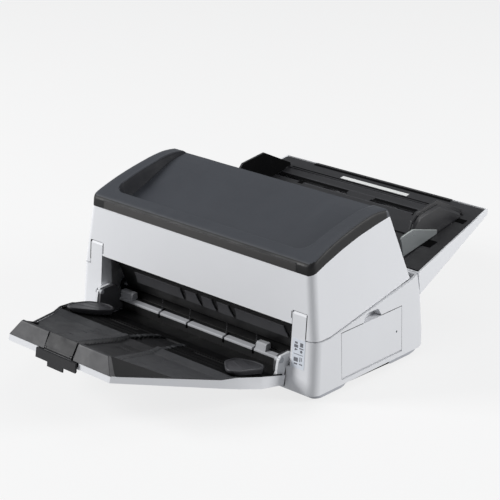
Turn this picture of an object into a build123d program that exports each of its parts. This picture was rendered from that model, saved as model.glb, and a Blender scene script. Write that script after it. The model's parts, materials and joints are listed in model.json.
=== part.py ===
from build123d import *
import math
import os

os.makedirs("parts", exist_ok=True)

# ---------------------------------------------------------------- driving dimensions (mm)
# Datum while modelling: X to the right, Y to the rear with 0 at the lower front edge of the
# casing, Z up from the table.  Every finished piece is shifted by -Y_MID on export, so that
# the origin of the written model is the middle of the footprint on the table.
Y_MID = 87.2
BASE_W = 432.0            # width of the casing at the table
SIDE_DRAFT = 0.036        # base sides lean in by this much per mm of height
FRONT_DRAFT = 0.079       # front face leans back by this much per mm of height
UP_W0, UP_DRAFT = 223.3, 0.142   # half width of the cover unit: UP_W0 - UP_DRAFT * z
WALL = 3.0
FLOOR_Z = 8.0             # seam between casing and bottom pan
PILLAR_IN, PILLAR_OUT, PILLAR_TOP = 174.0, 196.0, 110.5
PIVOT_Y, PIVOT_Z = 13.0, 96.0    # cover unit hinge, in the front pillars
PIN_R = 3.0
RUN = 0.05                # radial running clearance of a pin in its hole
MOUTH_W = 173.0           # half width of the exit mouth in the cover unit
MOUTH_TOP = 93.7
REAR_SLOPE = 0.3308       # rear edge of the cover unit: y = 234.2 - REAR_SLOPE * z
ROLLER_R = 9.0
SHAFT_R = 3.0
ST_SLOPE = 0.2405         # stacker floor rises towards the front by this per mm
ST_PY, ST_PZ = -6.5, 48.0        # stacker pivot
HOP_SLOPE = 0.173         # input chute rises towards the rear by this per mm
DOOR_Y0, DOOR_Y1, DOOR_Z0, DOOR_Z1 = 55.0, 177.0, 14.0, 78.0
DOOR_PX, DOOR_PZ = 212.4, 17.6   # operator panel hinge


def seam(y):
    """Height of the parting line between base and cover unit along the side."""
    return 78.0 + 0.1816 * (y - 36.0)


def side(x=0.0):
    """Sketch plane facing +X: local axes are Y and Z."""
    return Plane(origin=(x, 0, 0), x_dir=(0, 1, 0), z_dir=(1, 0, 0))


def front(y=0.0):
    """Sketch plane facing -Y: local axes are X and Z."""
    return Plane(origin=(0, y, 0), x_dir=(1, 0, 0), z_dir=(0, -1, 0))


def save(builder, name):
    piece = builder.part.moved(Location((0, -Y_MID, 0)))
    piece.label = name
    export_step(piece, f"parts/{name}.step")


# ================================================================= BASE UNIT
# white lower casing: tube of draughted walls, open below and above, with two front pillars,
# the exit mouth, the finger notch and pocket of the operator panel, and rear openings
with BuildPart() as base_housing:
    with BuildSketch(side()):
        Polygon((0.079 * 8, 8), (0.079 * 77, 77), (34.8, 77), (36.0, seam(36) - 0.3),
                (199, seam(199) - 0.3), (211.4, 112.4), (217.6, 80.6), (221.4, 30), (221.2, 18),
                (218.6, 11), (214, 8), align=None)
    extrude(amount=217, both=True)
    with BuildSketch(front(110)):
        Polygon((-215.7, 8), (215.7, 8), (211.8, 114), (-211.8, 114), align=None)
    extrude(amount=130, both=True, mode=Mode.INTERSECT)
    fillet(base_housing.edges().filter_by(lambda e: abs(e.tangent_at(0.5).Z) > 0.9
           and e.center().Y < 20), radius=13)
    fillet(base_housing.edges().filter_by(lambda e: abs(e.tangent_at(0.5).Z) > 0.9
           and e.center().Y > 200 and e.length > 20), radius=4)
    # pillars, solid, down to the floor
    for sx in (-1, 1):
        with BuildSketch(side(sx * 185)):
            Polygon((1.2, 14), (0.079 * 108, 108), (10.5, PILLAR_TOP), (24, PILLAR_TOP), (24, 14), align=None)
        extrude(amount=11, both=True)
    # main cavity
    with BuildSketch(side()):
        Polygon((4.4, 0), (4.4, 16), (9.6, 77), (9.6, 130), (208.2, 130), (208.2, 111.8), (213.8, 80.0),
                (217.6, 30), (217.2, 19), (214.8, 12.6), (210, 8), (210, 0), align=None)
    extrude(amount=174, both=True, mode=Mode.SUBTRACT)
    with BuildSketch(side()):
        Polygon((24, 0), (24, 130), (208.2, 130), (208.2, 111.8), (213.8, 80.0), (217.6, 30),
                (217.2, 19), (214.8, 12.6), (210, 8), (210, 0), align=None)
    extrude(amount=208.3, both=True, mode=Mode.SUBTRACT)
    for sx in (-1, 1):
        with BuildSketch(side(sx * 202.4)):
            Polygon((11.5, 0), (11.5, 130), (25, 130), (25, 0), align=None)
        extrude(amount=5.9, both=True, mode=Mode.SUBTRACT)
    # exit mouth
    with BuildSketch(front(8)):
        Polygon((-168.5, 9.5), (-157.5, 9.5), (-157.5, 14), (157.5, 14), (157.5, 9.5), (168.5, 9.5),
                (168.5, 37), (PILLAR_IN, 37), (PILLAR_IN, 125), (-PILLAR_IN, 125), (-PILLAR_IN, 37),
                (-168.5, 37), align=None)
    extrude(amount=18, both=True, mode=Mode.SUBTRACT)
    # pin holes in the pillars
    with BuildSketch(side(0)):
        with Locations((PIVOT_Y, PIVOT_Z)):
            Circle(PIN_R)
    extrude(amount=200, both=True, mode=Mode.SUBTRACT)
    # pocket for the operator panel in the right side, with its own inner walls
    with BuildSketch(side(205)):
        Polygon((51, 8), (51, seam(51) - 0.5), (181, seam(181) - 0.5), (181, 8), align=None)
    extrude(amount=7.5, both=True)
    with BuildSketch(side(210.6)):
        Polygon((DOOR_Y0, DOOR_Z0), (DOOR_Y0, DOOR_Z1), (98.5, DOOR_Z1), (103.0, 86.5), (106.5, 88.6),
                (126.5, 88.6), (130.0, 86.5), (134.5, DOOR_Z1), (DOOR_Y1, DOOR_Z1),
                (DOOR_Y1, DOOR_Z0), align=None)
    extrude(amount=9.1, both=True, mode=Mode.SUBTRACT)
    # rear openings: air slots, power inlet, data socket
    with BuildSketch(front(216)):
        with Locations(*[(-44 + 8 * i, 46) for i in range(20)]):
            SlotOverall(30, 3, rotation=90)
        with Locations((-158, 42)):
            Rectangle(28.4, 22.4)
        with Locations((-122, 38)):
            Rectangle(12.4, 11.4)
    extrude(amount=14, both=True, mode=Mode.SUBTRACT)
    # throat notch in the rear wall, and seats of the operator panel's hinge pins
    with BuildSketch(front(212)):
        with Locations((0, 110)):
            Rectangle(346, 14)
    extrude(amount=10, both=True, mode=Mode.SUBTRACT)
    for ya, yb in ((50.0, 56.0), (176.0, 182.0)):
        with BuildSketch(front(yb)):
            with Locations((DOOR_PX, DOOR_PZ)):
                Circle(1.5)
        extrude(amount=yb - ya, mode=Mode.SUBTRACT)
save(base_housing, "base_housing")

# bottom pan: shallow tray with two runners and a hand recess between them
with BuildPart() as bottom_pan:
    with BuildSketch(side()):
        Polygon((3.2, FLOOR_Z), (9.5, 1.6), (58, 1.6), (62.5, 2.6), (69, 6.0), (73, 6.6), (150, 6.6), (157.5, 1.6),
                (198, 1.6), (206, 3.0), (212.5, 6.0), (213.5, FLOOR_Z), align=None)
    extrude(amount=212.6, both=True)
    fillet(bottom_pan.edges().filter_by(lambda e: abs(e.tangent_at(0.5).Z) > 0.55
           and e.center().Y < 12), radius=9)
save(bottom_pan, "bottom_pan")

with BuildPart() as rubber_feet:
    for fx, fy in ((-188, 24), (188, 24), (-188, 182), (188, 182)):
        with BuildSketch(Plane.XY):
            with Locations((fx, fy)):
                Circle(10)
        extrude(amount=1.6)
save(rubber_feet, "rubber_feet")

# inner frame: two side plates that carry the shafts, and a cross plate
PATH = [(44.0, 29.6), (80.0, 45.6), (120.0, 67.6), (170.0, 94.0), (206.5, 108.6)]   # paper path
EXIT_Y, EXIT_Z = 66.0, 30.6
FEED_Y, FEED_Z = 134.0, 65.6
PICK_Y, PICK_Z = 181.0, 89.6
MOTOR_Y, MOTOR_Z = 150.0, 34.0
with BuildPart() as side_frames:
    for sx in (-1, 1):
        with BuildSketch(side(sx * 178)):
            Polygon((40, 8), (40, 26), (80, 42), (120, 64), (170, 90.5), (204, 104), (204, 8), align=None)
            with Locations((EXIT_Y, EXIT_Z), (FEED_Y, FEED_Z), (PICK_Y, PICK_Z)):
                Circle(SHAFT_R + RUN, mode=Mode.SUBTRACT)
            if sx < 0:
                with Locations((MOTOR_Y, MOTOR_Z)):
                    Circle(9, mode=Mode.SUBTRACT)
        extrude(amount=1.0, both=True)
    for y in (100.0, 196.0):
        with BuildSketch(front(y)):
            with Locations((0, 16)):
                Rectangle(354, 16)
        extrude(amount=0.8, both=True)
save(side_frames, "side_frames")

# lower paper guide: sloping deck with roller windows and a window for the scan glass
with BuildPart() as lower_paper_guide:
    with BuildSketch(side()):
        Polygon(*PATH, (206.5, 106.0), (170.6, 91.2), (121.0, 65.0), (81.0, 43.0), (44.0, 26.6), align=None)
    extrude(amount=176.5, both=True)
    with BuildSketch(Plane.XY.offset(0)):
        for yy, hh in ((EXIT_Y, 20), (FEED_Y, 22), (PICK_Y, 22)):
            with Locations(*[(x, yy) for x in (-120, -40, 40, 120)]):
                Rectangle(23, hh)
        with Locations((0, 98)):
            Rectangle(334, 22)
    extrude(amount=130, mode=Mode.SUBTRACT)
save(lower_paper_guide, "lower_paper_guide")

# floor of the exit mouth in front of the strip
with BuildPart() as exit_floor:
    with BuildSketch(side()):
        Polygon((4.8, 12.0), (4.8, 14.0), (43.0, 14.0), (43.0, 8.0), (40.0, 8.0), (40.0, 12.0), align=None)
    extrude(amount=157.0, both=True)
save(exit_floor, "exit_floor")

# light grey strip at the end of the path, ribbed into five pads, with two raised stops
with BuildPart() as exit_strip:
    with BuildSketch(side()):
        Polygon((29.8, 14.0), (29.8, 26.6), (31.0, 27.6), (42.5, 29.4), (42.5, 14.0), align=None)
    extrude(amount=166, both=True)
    with BuildSketch(Plane.XY.offset(19)):
        with Locations(*[(x, 36) for x in (-86.8, -33.9, 33.9, 86.8)]):
            Rectangle(3.6, 16)
    extrude(amount=14, mode=Mode.SUBTRACT)
    with BuildSketch(side(98.5)):
        Polygon((30.8, 26), (33.2, 35.8), (35.0, 37.2), (41.5, 37.2), (42.5, 26), align=None)
    extrude(amount=8.5, both=True)
    with BuildSketch(side(-153.5)):
        Polygon((30.8, 26), (33.0, 36.5), (35.0, 38.0), (41.5, 38.0), (42.5, 26), align=None)
    extrude(amount=11.5, both=True)
save(exit_strip, "exit_strip")

with BuildPart() as exit_wires:
    for x in (-86.8, -33.9, 33.9, 86.8):
        with BuildSketch(Plane(origin=(x - 0.9, 34.5, 19.3), x_dir=(1, 0, 0), z_dir=(0.10, 0.05, 1))):
            Circle(0.7)
        extrude(amount=28)
save(exit_wires, "exit_wires")

# lower image unit under the glass
GL_A = math.atan2(67.6 - 45.6, 40.0)
glass_plane = Plane(origin=(0, 98.0, 55.5), x_dir=(1, 0, 0), z_dir=(0, -math.sin(GL_A), math.cos(GL_A)))
with BuildPart() as lower_glass:
    with BuildSketch(glass_plane.offset(-2.6)):
        Rectangle(326, 17)
    extrude(amount=2.4)
save(lower_glass, "lower_glass")
with BuildPart() as lower_image_unit:
    with BuildSketch(glass_plane.offset(-26.0)):
        Rectangle(340, 24)
    extrude(amount=20.4)
    with BuildSketch(glass_plane.offset(-5.6)):
        Rectangle(326, 17)
    extrude(amount=3.0)
    with BuildSketch(glass_plane.offset(-22.0)):
        Rectangle(320, 10)
    extrude(amount=19.4, mode=Mode.SUBTRACT)
save(lower_image_unit, "lower_image_unit")

# driven shafts with pressed belt pulleys, and their rubber rollers
ROLL_X = (-120, -40, 40, 120)
for nm, ry, rz, tail, pulleys in (("exit", EXIT_Y, EXIT_Z, -196, (-190,)),
                                  ("feed", FEED_Y, FEED_Z, -203, (-183, -190, -197)),
                                  ("pick", PICK_Y, PICK_Z, -203, (-197,))):
    with BuildPart() as shaft:
        with BuildSketch(side(tail)):
            with Locations((ry, rz)):
                Circle(SHAFT_R)
        extrude(amount=182 - tail)
        for x in pulleys:
            with BuildSketch(side(x)):
                with Locations((ry, rz)):
                    Circle(8)
            extrude(amount=2.6, both=True)
    save(shaft, f"{nm}_roller_shaft")
    with BuildPart() as tyres:
        for x in ROLL_X:
            with BuildSketch(side(x)):
                with Locations((ry, rz)):
                    Circle(ROLLER_R)
                    Circle(SHAFT_R, mode=Mode.SUBTRACT)
            extrude(amount=10, both=True)
    save(tyres, f"{nm}_roller_tyres")
with BuildPart() as motor_pulley:
    with BuildSketch(side(-183)):
        with Locations((MOTOR_Y, MOTOR_Z)):
            Circle(5)
    extrude(amount=2.6, both=True)
    with BuildSketch(side(-183)):
        with Locations((MOTOR_Y, MOTOR_Z)):
            Circle(2)
    extrude(amount=9.0)
save(motor_pulley, "motor_pulley")
with BuildPart() as drive_motor:
    with BuildSketch(side(-176.6)):
        with Locations((MOTOR_Y, MOTOR_Z)):
            RectangleRounded(36, 36, 4)
            Circle(6, mode=Mode.SUBTRACT)
    extrude(amount=4)
    with BuildSketch(side(-172.6)):
        with Locations((MOTOR_Y, MOTOR_Z)):
            Circle(17)
    extrude(amount=34)
save(drive_motor, "drive_motor")
with BuildPart() as drive_belts:
    for x, ca, ra, cb, rb in ((-183, (MOTOR_Y, MOTOR_Z), 5, (FEED_Y, FEED_Z), 8),
                              (-190, (EXIT_Y, EXIT_Z), 8, (FEED_Y, FEED_Z), 8),
                              (-197, (PICK_Y, PICK_Z), 8, (FEED_Y, FEED_Z), 8)):
        with BuildSketch(side(x)):
            with Locations(ca):
                Circle(ra + 1.8)
            with Locations(cb):
                Circle(rb + 1.8)
            make_hull()
        extrude(amount=2.2, both=True)
        with BuildSketch(side(x)):
            with Locations(ca):
                Circle(ra + 0.35)
            with Locations(cb):
                Circle(rb + 0.35)
            make_hull()
        extrude(amount=2.3, both=True, mode=Mode.SUBTRACT)
save(drive_belts, "drive_belts")

# electronics
with BuildPart() as main_board:
    with BuildSketch(Plane.XY.offset(14)):
        with Locations((20, 148)):
            Rectangle(240, 84)
    extrude(amount=1.6)
    with BuildSketch(Plane.XY.offset(15.6)):
        with Locations((-20, 150), (30, 138)):
            Rectangle(26, 26)
        with Locations((90, 130), (90, 160)):
            Rectangle(18, 12)
        with Locations((-80, 170), (-62, 170)):
            Circle(6)
    extrude(amount=5)
    with BuildSketch(Plane.XY.offset(8)):
        with Locations((-92, 112), (132, 112), (-92, 184), (132, 184)):
            Circle(3.5)
    extrude(amount=6)
save(main_board, "main_board")
with BuildPart() as power_inlet:
    with BuildSketch(front(222)):
        with Locations((-158, 42)):
            Rectangle(28, 22)
    extrude(amount=24)
    with BuildSketch(front(213.6)):
        with Locations((-158, 42)):
            Rectangle(34, 28)
    extrude(amount=2)
    with BuildSketch(front(222)):
        with Locations((-158, 42)):
            RectangleRounded(23, 16, 3)
    extrude(amount=16, mode=Mode.SUBTRACT)
    with BuildSketch(front(222)):
        with Locations((-165, 39.5), (-151, 39.5), (-158, 43.5)):
            Rectangle(2, 3)
    extrude(amount=17)
save(power_inlet, "power_inlet")
with BuildPart() as data_socket:
    with BuildSketch(front(221.2)):
        with Locations((-122, 38)):
            Rectangle(12, 11)
            Rectangle(9.4, 8.4, mode=Mode.SUBTRACT)
    extrude(amount=18)
    with BuildSketch(front(221.2)):
        with Locations((-122, 38)):
            Rectangle(6, 4)
    extrude(amount=17.9)
    with BuildSketch(front(205.2)):
        with Locations((-122, 38)):
            Rectangle(12, 11)
    extrude(amount=2)
save(data_socket, "data_socket")

with BuildPart() as cover_hinge_pins:
    for sx in (-1, 1):
        with BuildSketch(side(sx * 175)):
            with Locations((PIVOT_Y, PIVOT_Z)):
                Circle(PIN_R)
        extrude(amount=sx * 28)
save(cover_hinge_pins, "cover_hinge_pins")

# small light-pipe and stickers of the base
with BuildPart() as instruction_label:
    with BuildSketch(Plane(origin=(0, 0, 0), x_dir=(1, 0, 0), z_dir=(0, -1, FRONT_DRAFT))):
        with Locations((187.0, 58.5)):
            RectangleRounded(20.5, 38, 0.8)
    extrude(amount=0.3)
save(instruction_label, "instruction_label")

# ================================================================= INPUT CHUTE (HOPPER)
def hop(y):
    """Top surface of the chute."""
    return 113.0 + HOP_SLOPE * (y - 211.4)

with BuildPart() as hopper_cavity:
    with BuildSketch(side()):
        Polygon((214.6, 125), (214.6, 113.5), (219.4, 84.2), (396, 138.2), (399.8, 139.9), (399.8, 165), align=None)
    extrude(amount=215, both=True)
    with BuildSketch(Plane.XY.offset(60)):
        Polygon((-209.0, 211), (209.0, 211), (182.0, 400), (-182.0, 400), align=None)
    extrude(amount=110, mode=Mode.INTERSECT)
with BuildPart() as hopper_shell:
    with BuildSketch(side()):
        Polygon((211.8, 112.6), (402.0, hop(402)), (402.6, 138.2), (399.0, 136.2), (217.9, 80.6), align=None)
    extrude(amount=215, both=True)
    with BuildSketch(Plane.XY.offset(70)):
        Polygon((-213.0, 205), (213.0, 205), (212.2, 211), (184.6, 403), (-184.6, 403), (-212.2, 211), align=None)
    extrude(amount=90, mode=Mode.INTERSECT)
    add(hopper_cavity.part, mode=Mode.SUBTRACT)
    with BuildSketch(front(395)):
        with Locations((0, 146.0)):
            Rectangle(251, 12.2)
    extrude(amount=-12, mode=Mode.SUBTRACT)
    with BuildSketch(front(220)):
        with Locations((0, 112)):
            Rectangle(350, 18)
    extrude(amount=14, both=True, mode=Mode.SUBTRACT)
save(hopper_shell, "hopper_shell")

# black deck of the chute: sloping plate that runs from the throat to the rear edge
hop_plane = Plane(origin=(0, 211.4, 113.0), x_dir=(1, 0, 0), z_dir=(0, -HOP_SLOPE, 1))   # local y runs up the slope
HC = math.sqrt(1 + HOP_SLOPE ** 2)


def hy(y):
    """Distance along the sloping deck for a given y."""
    return (y - 211.4) * HC


with BuildPart() as hopper_tray:
    with BuildSketch(hop_plane.offset(-3.2)):
        Polygon((-208.0, hy(217.0)), (208.0, hy(217.0)), (181.6, hy(398.8)), (-181.6, hy(398.8)), align=None)
    extrude(amount=2.8)
    # shallow recess that carries the sheets
    with BuildSketch(hop_plane.offset(-1.5)):
        Polygon((-173, hy(210.0)), (173, hy(210.0)), (166, hy(372.0)), (-166, hy(372.0)), align=None)
    extrude(amount=4.0, mode=Mode.SUBTRACT)
    # apron that carries the sheets down to the rollers
    with BuildSketch(side()):
        Polygon((207.6, 108.9), (218.5, hop(218.5) - 1.55), (218.5, hop(218.5) - 3.2), (209.0, 106.6), (207.6, 106.2), align=None)
    extrude(amount=171, both=True)
    # ribs under the deck
    for x in (-190, -60, 60, 190):
        with BuildSketch(side(x)):
            Polygon((222, hop(222) - 3.1), (330, hop(330) - 3.1), (326, hop(326) - 6.5), (222, hop(222) - 14), align=None)
        extrude(amount=0.9, both=True)
    # tracks of the side guides
    with BuildSketch(hop_plane.offset(-8)):
        with Locations((-94.0, hy(290)), (94.0, hy(290)), (-94.0, hy(346)), (94.0, hy(346))):
            SlotOverall(146, 4.6)
    extrude(amount=10, mode=Mode.SUBTRACT)
save(hopper_tray, "hopper_tray")

with BuildPart() as size_scale:
    with BuildSketch(hop_plane.offset(-0.4)):
        with Locations((0, hy(382.0))):
            Rectangle(122, 7)
    extrude(amount=0.3)
save(size_scale, "size_scale")

with BuildPart() as hopper_extension:
    with BuildSketch(hop_plane.offset(-5.6)):
        with Locations((0, hy(376.0))):
            Rectangle(246, 50)
        with Locations((-96, hy(335.0)), (96, hy(335.0))):
            Rectangle(54, 90)
    extrude(amount=1.9)
    with BuildSketch(hop_plane.offset(-5.6)):
        with Locations((0, hy(401.0))):
            Rectangle(250, 3.0)
    extrude(amount=5.4)
save(hopper_extension, "hopper_extension")

# side guides of the chute: tall fence that tapers to the rear, with two stems in the tracks
for nm, s in (("left", -1), ("right", 1)):
    with BuildPart() as guide:
        with BuildSketch(side(s * 157)):
            Polygon((250, hop(250) - 1.2), (262, 158), (272, 168), (318, 174), (376, 145.8), (377, hop(377) + 0.2), (366, hop(366) + 0.3), (366, hop(366) - 1.2), align=None)
        extrude(amount=s * 3.2)
        with BuildSketch(side(s * 160)):
            Polygon((250, hop(250) - 1.2), (262, 154), (274, 163.5), (316, 169), (366, 144), (366, hop(366) - 1.2), align=None)
        extrude(amount=s * 5.4)
        chamfer(guide.edges().filter_by(lambda e: abs(abs(e.center().X) - 165.4) < 0.01 and e.center().Z > hop(e.center().Y) + 12), length=3)
        with BuildSketch(hop_plane.offset(-3.1)):
            with Locations((s * 160.5, hy(290)), (s * 160.5, hy(346))):
                Rectangle(6.0, 3.9)
        extrude(amount=3.1)
    save(guide, f"hopper_guide_{nm}")
    with BuildPart() as fin:
        with BuildSketch(side(s * 165.4)):
            Polygon((236, hop(236) - 0.3), (230, 143), (233, 146), (256, 150), (309, 135.5), (309, hop(309) - 0.3), align=None)
        extrude(amount=s * 2.4)
    save(fin, f"guide_fin_{nm}")

# ================================================================= COVER UNIT
EDGE = [(12.64, 160.0), (24.0, 164.6), (40.4, 170.3), (71.1, 179.5), (105.8, 187.9), (140.6, 193.8), (168.75, 197.8)]
RIM = [(164.8, 209.8), (148.0, 209.9), (132.3, 208.6), (104.4, 203.6), (73.5, 196.3), (42.8, 186.8), (18.0, 176.6), (13.6, 172.2)]
with BuildPart() as cover_cavity:
    with BuildSketch(side()):
        Polygon((7.8, 60), (22.0, 240), (163, 240), (163, 205), (211.2, 60), align=None)
    extrude(amount=230, both=True)
    with BuildSketch(front(110)):
        Polygon((-(UP_W0 - UP_DRAFT * 60 - 3.05), 60), (UP_W0 - UP_DRAFT * 60 - 3.05, 60),
                (UP_W0 - UP_DRAFT * 240 - 3.05, 240), (-(UP_W0 - UP_DRAFT * 240 - 3.05), 240), align=None)
    extrude(amount=130, both=True, mode=Mode.INTERSECT)
    fillet(cover_cavity.edges().filter_by(lambda e: abs(e.tangent_at(0.5).Z) > 0.9 and e.center().Y < 20), radius=8)
    # bearing bosses of the cover hinge are left standing at the front corners
    for s in (-1, 1):
        with BuildSketch(side(s * 197.2)):
            with Locations((PIVOT_Y, PIVOT_Z)):
                Circle(7.5)
        extrude(amount=s * 30, mode=Mode.SUBTRACT)
with BuildPart() as cover_shell:
    with BuildSketch(side()):
        with BuildLine():
            Spline(*EDGE)
            Polyline(EDGE[-1], (234.2 - REAR_SLOPE * 108.0, 108.0 + 0.25), (35.4, 79.0), (FRONT_DRAFT * 79.0, 79.0), EDGE[0])
        make_face()
    extrude(amount=230, both=True)
    with BuildSketch(front(110)):
        Polygon((-(UP_W0 - UP_DRAFT * 60), 60), (UP_W0 - UP_DRAFT * 60, 60),
                (UP_W0 - UP_DRAFT * 220, 220), (-(UP_W0 - UP_DRAFT * 220), 220), align=None)
    extrude(amount=130, both=True, mode=Mode.INTERSECT)
    fillet(cover_shell.edges().filter_by(lambda e: abs(e.tangent_at(0.5).Z) > 0.9 and e.center().Y < 20), radius=11)
    add(cover_cavity.part, mode=Mode.SUBTRACT)
    with BuildSketch(side()):
        with Locations((PIVOT_Y, PIVOT_Z)):
            Circle(PIN_R + RUN)
    extrude(amount=204, both=True, mode=Mode.SUBTRACT)
    # exit mouth, pillar notches, rear throat
    with BuildSketch(front(12)):
        Polygon((-196.9, 60), (196.9, 60), (196.9, 112.2), (MOUTH_W, 112.2), (MOUTH_W, MOUTH_TOP), (-MOUTH_W, MOUTH_TOP),
                (-MOUTH_W, 112.2), (-196.9, 112.2), align=None)
    extrude(amount=13, both=True, mode=Mode.SUBTRACT)
    with BuildSketch(front(185)):
        Polygon((-168, 90), (168, 90), (168, 132), (-168, 132), align=None)
    extrude(amount=30, both=True, mode=Mode.SUBTRACT)
    # seat of the front trim
    with BuildSketch(front(10)):
        with Locations((0, 170.3)):
            Rectangle(348, 20)
    extrude(amount=-9.6, mode=Mode.SUBTRACT)
save(cover_shell, "cover_shell")

with BuildPart() as top_cover:
    with BuildSketch(side()):
        with BuildLine():
            Spline(*EDGE)
            Line(EDGE[-1], RIM[0])
            Spline(*RIM)
            Line(RIM[-1], EDGE[0])
        make_face()
    extrude(amount=230, both=True)
    with BuildSketch(front(110)):
        Polygon((-(UP_W0 - UP_DRAFT * 120), 120), (UP_W0 - UP_DRAFT * 120, 120),
                (UP_W0 - UP_DRAFT * 230, 230), (-(UP_W0 - UP_DRAFT * 230), 230), align=None)
    extrude(amount=130, both=True, mode=Mode.INTERSECT)
    fillet(top_cover.edges().filter_by(lambda e: abs(e.tangent_at(0.5).Z) > 0.9 and e.center().Y < 20), radius=9)
    fillet(top_cover.edges().filter_by(lambda e: e.center().Z > 171 and (abs(e.center().X) > 187 or e.center().Y < 20) and e.center().Y < 158
           and abs(e.tangent_at(0.5).Z) < 0.9), radius=3.2)
    # underside of the dish
    with BuildSketch(side()):
        Polygon((19.5, 163.2), (19.5, 159.2), (60, 163.2), (115, 186), (140, 190.6), (161.0, 194.4), (161.0, 199.5), (105.8, 189.8), (71.1, 181.5), (40.4, 172.3), align=None)
    extrude(amount=186, both=True)
    # recess of the top
    with BuildSketch(side()):
        with BuildLine():
            Spline((37, 166.0), (58, 169.6), (82, 178.2), (113, 191.9), (145, 205.6), (172, 208.2))
            Polyline((172, 208.2), (172, 240), (33, 240), (33, 176), (37, 166.0))
        make_face()
    extrude(amount=171, both=True, mode=Mode.SUBTRACT)
    with BuildSketch(side()):
        with BuildLine():
            Spline((37, 166.0), (58, 169.6), (110, 186.5), (140, 195.8), (172, 203.2))
            Polyline((172, 203.2), (172, 240), (60, 240), (37, 166.0))
        make_face()
    extrude(amount=112, both=True, mode=Mode.SUBTRACT)
    # seat of the front trim
    with BuildSketch(front(10)):
        with Locations((0, 160)):
            Rectangle(347.6, 23.2)
    extrude(amount=-9.2, mode=Mode.SUBTRACT)
save(top_cover, "top_cover")

with BuildPart() as front_trim:
    with BuildSketch(side()):
        Polygon((12.72, 160.6), (13.55, 171.3), (19.0, 171.3), (19.0, 160.6), align=None)
    extrude(amount=173.6, both=True)
save(front_trim, "front_trim")

UP_N = 3.6
with BuildPart() as upper_paper_guide:
    with BuildSketch(side()):
        Polygon((48.5, 38.4), (80, 50.0), (120, 72.0), (170, 98.4), (190.0, 107.4), (189.4, 109.0), (169.4, 100.1), (119.4, 73.7), (79.4, 51.7),
                (51.5, 41.2), (28.0, 97.5), (12.0, 99.0), (12.0, 96.0), (25.0, 94.4), align=None)
    extrude(amount=167.4, both=True)
    with BuildSketch(Plane.XY.offset(36)):
        for yy, hh in ((59.4, 22), (125.4, 22), (174.2, 21)):
            with Locations(*[(x, yy) for x in ROLL_X]):
                Rectangle(23, hh)
        with Locations((0, 94.5)):
            Rectangle(334, 22)
    extrude(amount=110, mode=Mode.SUBTRACT)
save(upper_paper_guide, "upper_paper_guide")

UPR = (("upper_exit_roller", 58.5, 47.4), ("upper_feed_roller", 125.4, 81.9), ("brake_roller", 174.2, 106.7))
with BuildPart() as upper_side_frames:
    for s in (-1, 1):
        with BuildSketch(side(s * 169.0)):
            Polygon((53.5, 41.5), (80, 50.6), (120, 72.6), (170, 99.0), (189, 107.6), (178, 132), (150, 150), (60, 150), (44, 112), (36, 98), (50, 60), align=None)
            with Locations(*[(y, z) for _, y, z in UPR]):
                Circle(SHAFT_R + RUN, mode=Mode.SUBTRACT)
        extrude(amount=1.0, both=True)
    with BuildSketch(Plane.XY.offset(148.4)):
        with Locations((0, 105)):
            Rectangle(340, 88)
    extrude(amount=1.6)
save(upper_side_frames, "upper_side_frames")
for nm, y, z in UPR:
    with BuildPart() as roller:
        with BuildSketch(side(-171.5)):
            with Locations((y, z)):
                Circle(SHAFT_R)
        extrude(amount=343)
        for x in ROLL_X:
            with BuildSketch(side(x)):
                with Locations((y, z)):
                    Circle(ROLLER_R)
            extrude(amount=10, both=True)
    save(roller, nm)
up_glass_plane = glass_plane.offset(UP_N + 0.4)
with BuildPart() as upper_glass:
    with BuildSketch(up_glass_plane):
        Rectangle(326, 17)
    extrude(amount=2.4)
save(upper_glass, "upper_glass")
with BuildPart() as upper_image_unit:
    with BuildSketch(up_glass_plane.offset(2.4)):
        Rectangle(326, 17)
    extrude(amount=3.4)
    with BuildSketch(up_glass_plane.offset(5.8)):
        Rectangle(334, 24)
    extrude(amount=21)
    with BuildSketch(up_glass_plane.offset(2.4)):
        Rectangle(316, 9)
    extrude(amount=20, mode=Mode.SUBTRACT)
save(upper_image_unit, "upper_image_unit")

# ================================================================= STACKER (OUTPUT TRAY)
st_plane = Plane(origin=(0, 0, 13.3), x_dir=(1, 0, 0), z_dir=(0, ST_SLOPE, 1))   # underside of the stacker
SC = math.sqrt(1 + ST_SLOPE ** 2)


def sy(y):
    """Distance along the stacker's underside for a given y."""
    return y * SC


def outline(d, y_rear=-4.7):
    """Plan of the stacker, pulled in by d, in the coordinates of its underside plane."""
    right = [(171.2 - d, sy(y_rear)), (174.8 - d, sy(-49.9)), (164.6 - d, sy(-80.8 + 0.1 * d)), (155.7 - d, sy(-100.2 + 0.2 * d)),
             (92.6 - 0.9 * d, sy(-223.7 + d))]
    return right + [(-x, y) for x, y in reversed(right)]


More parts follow.
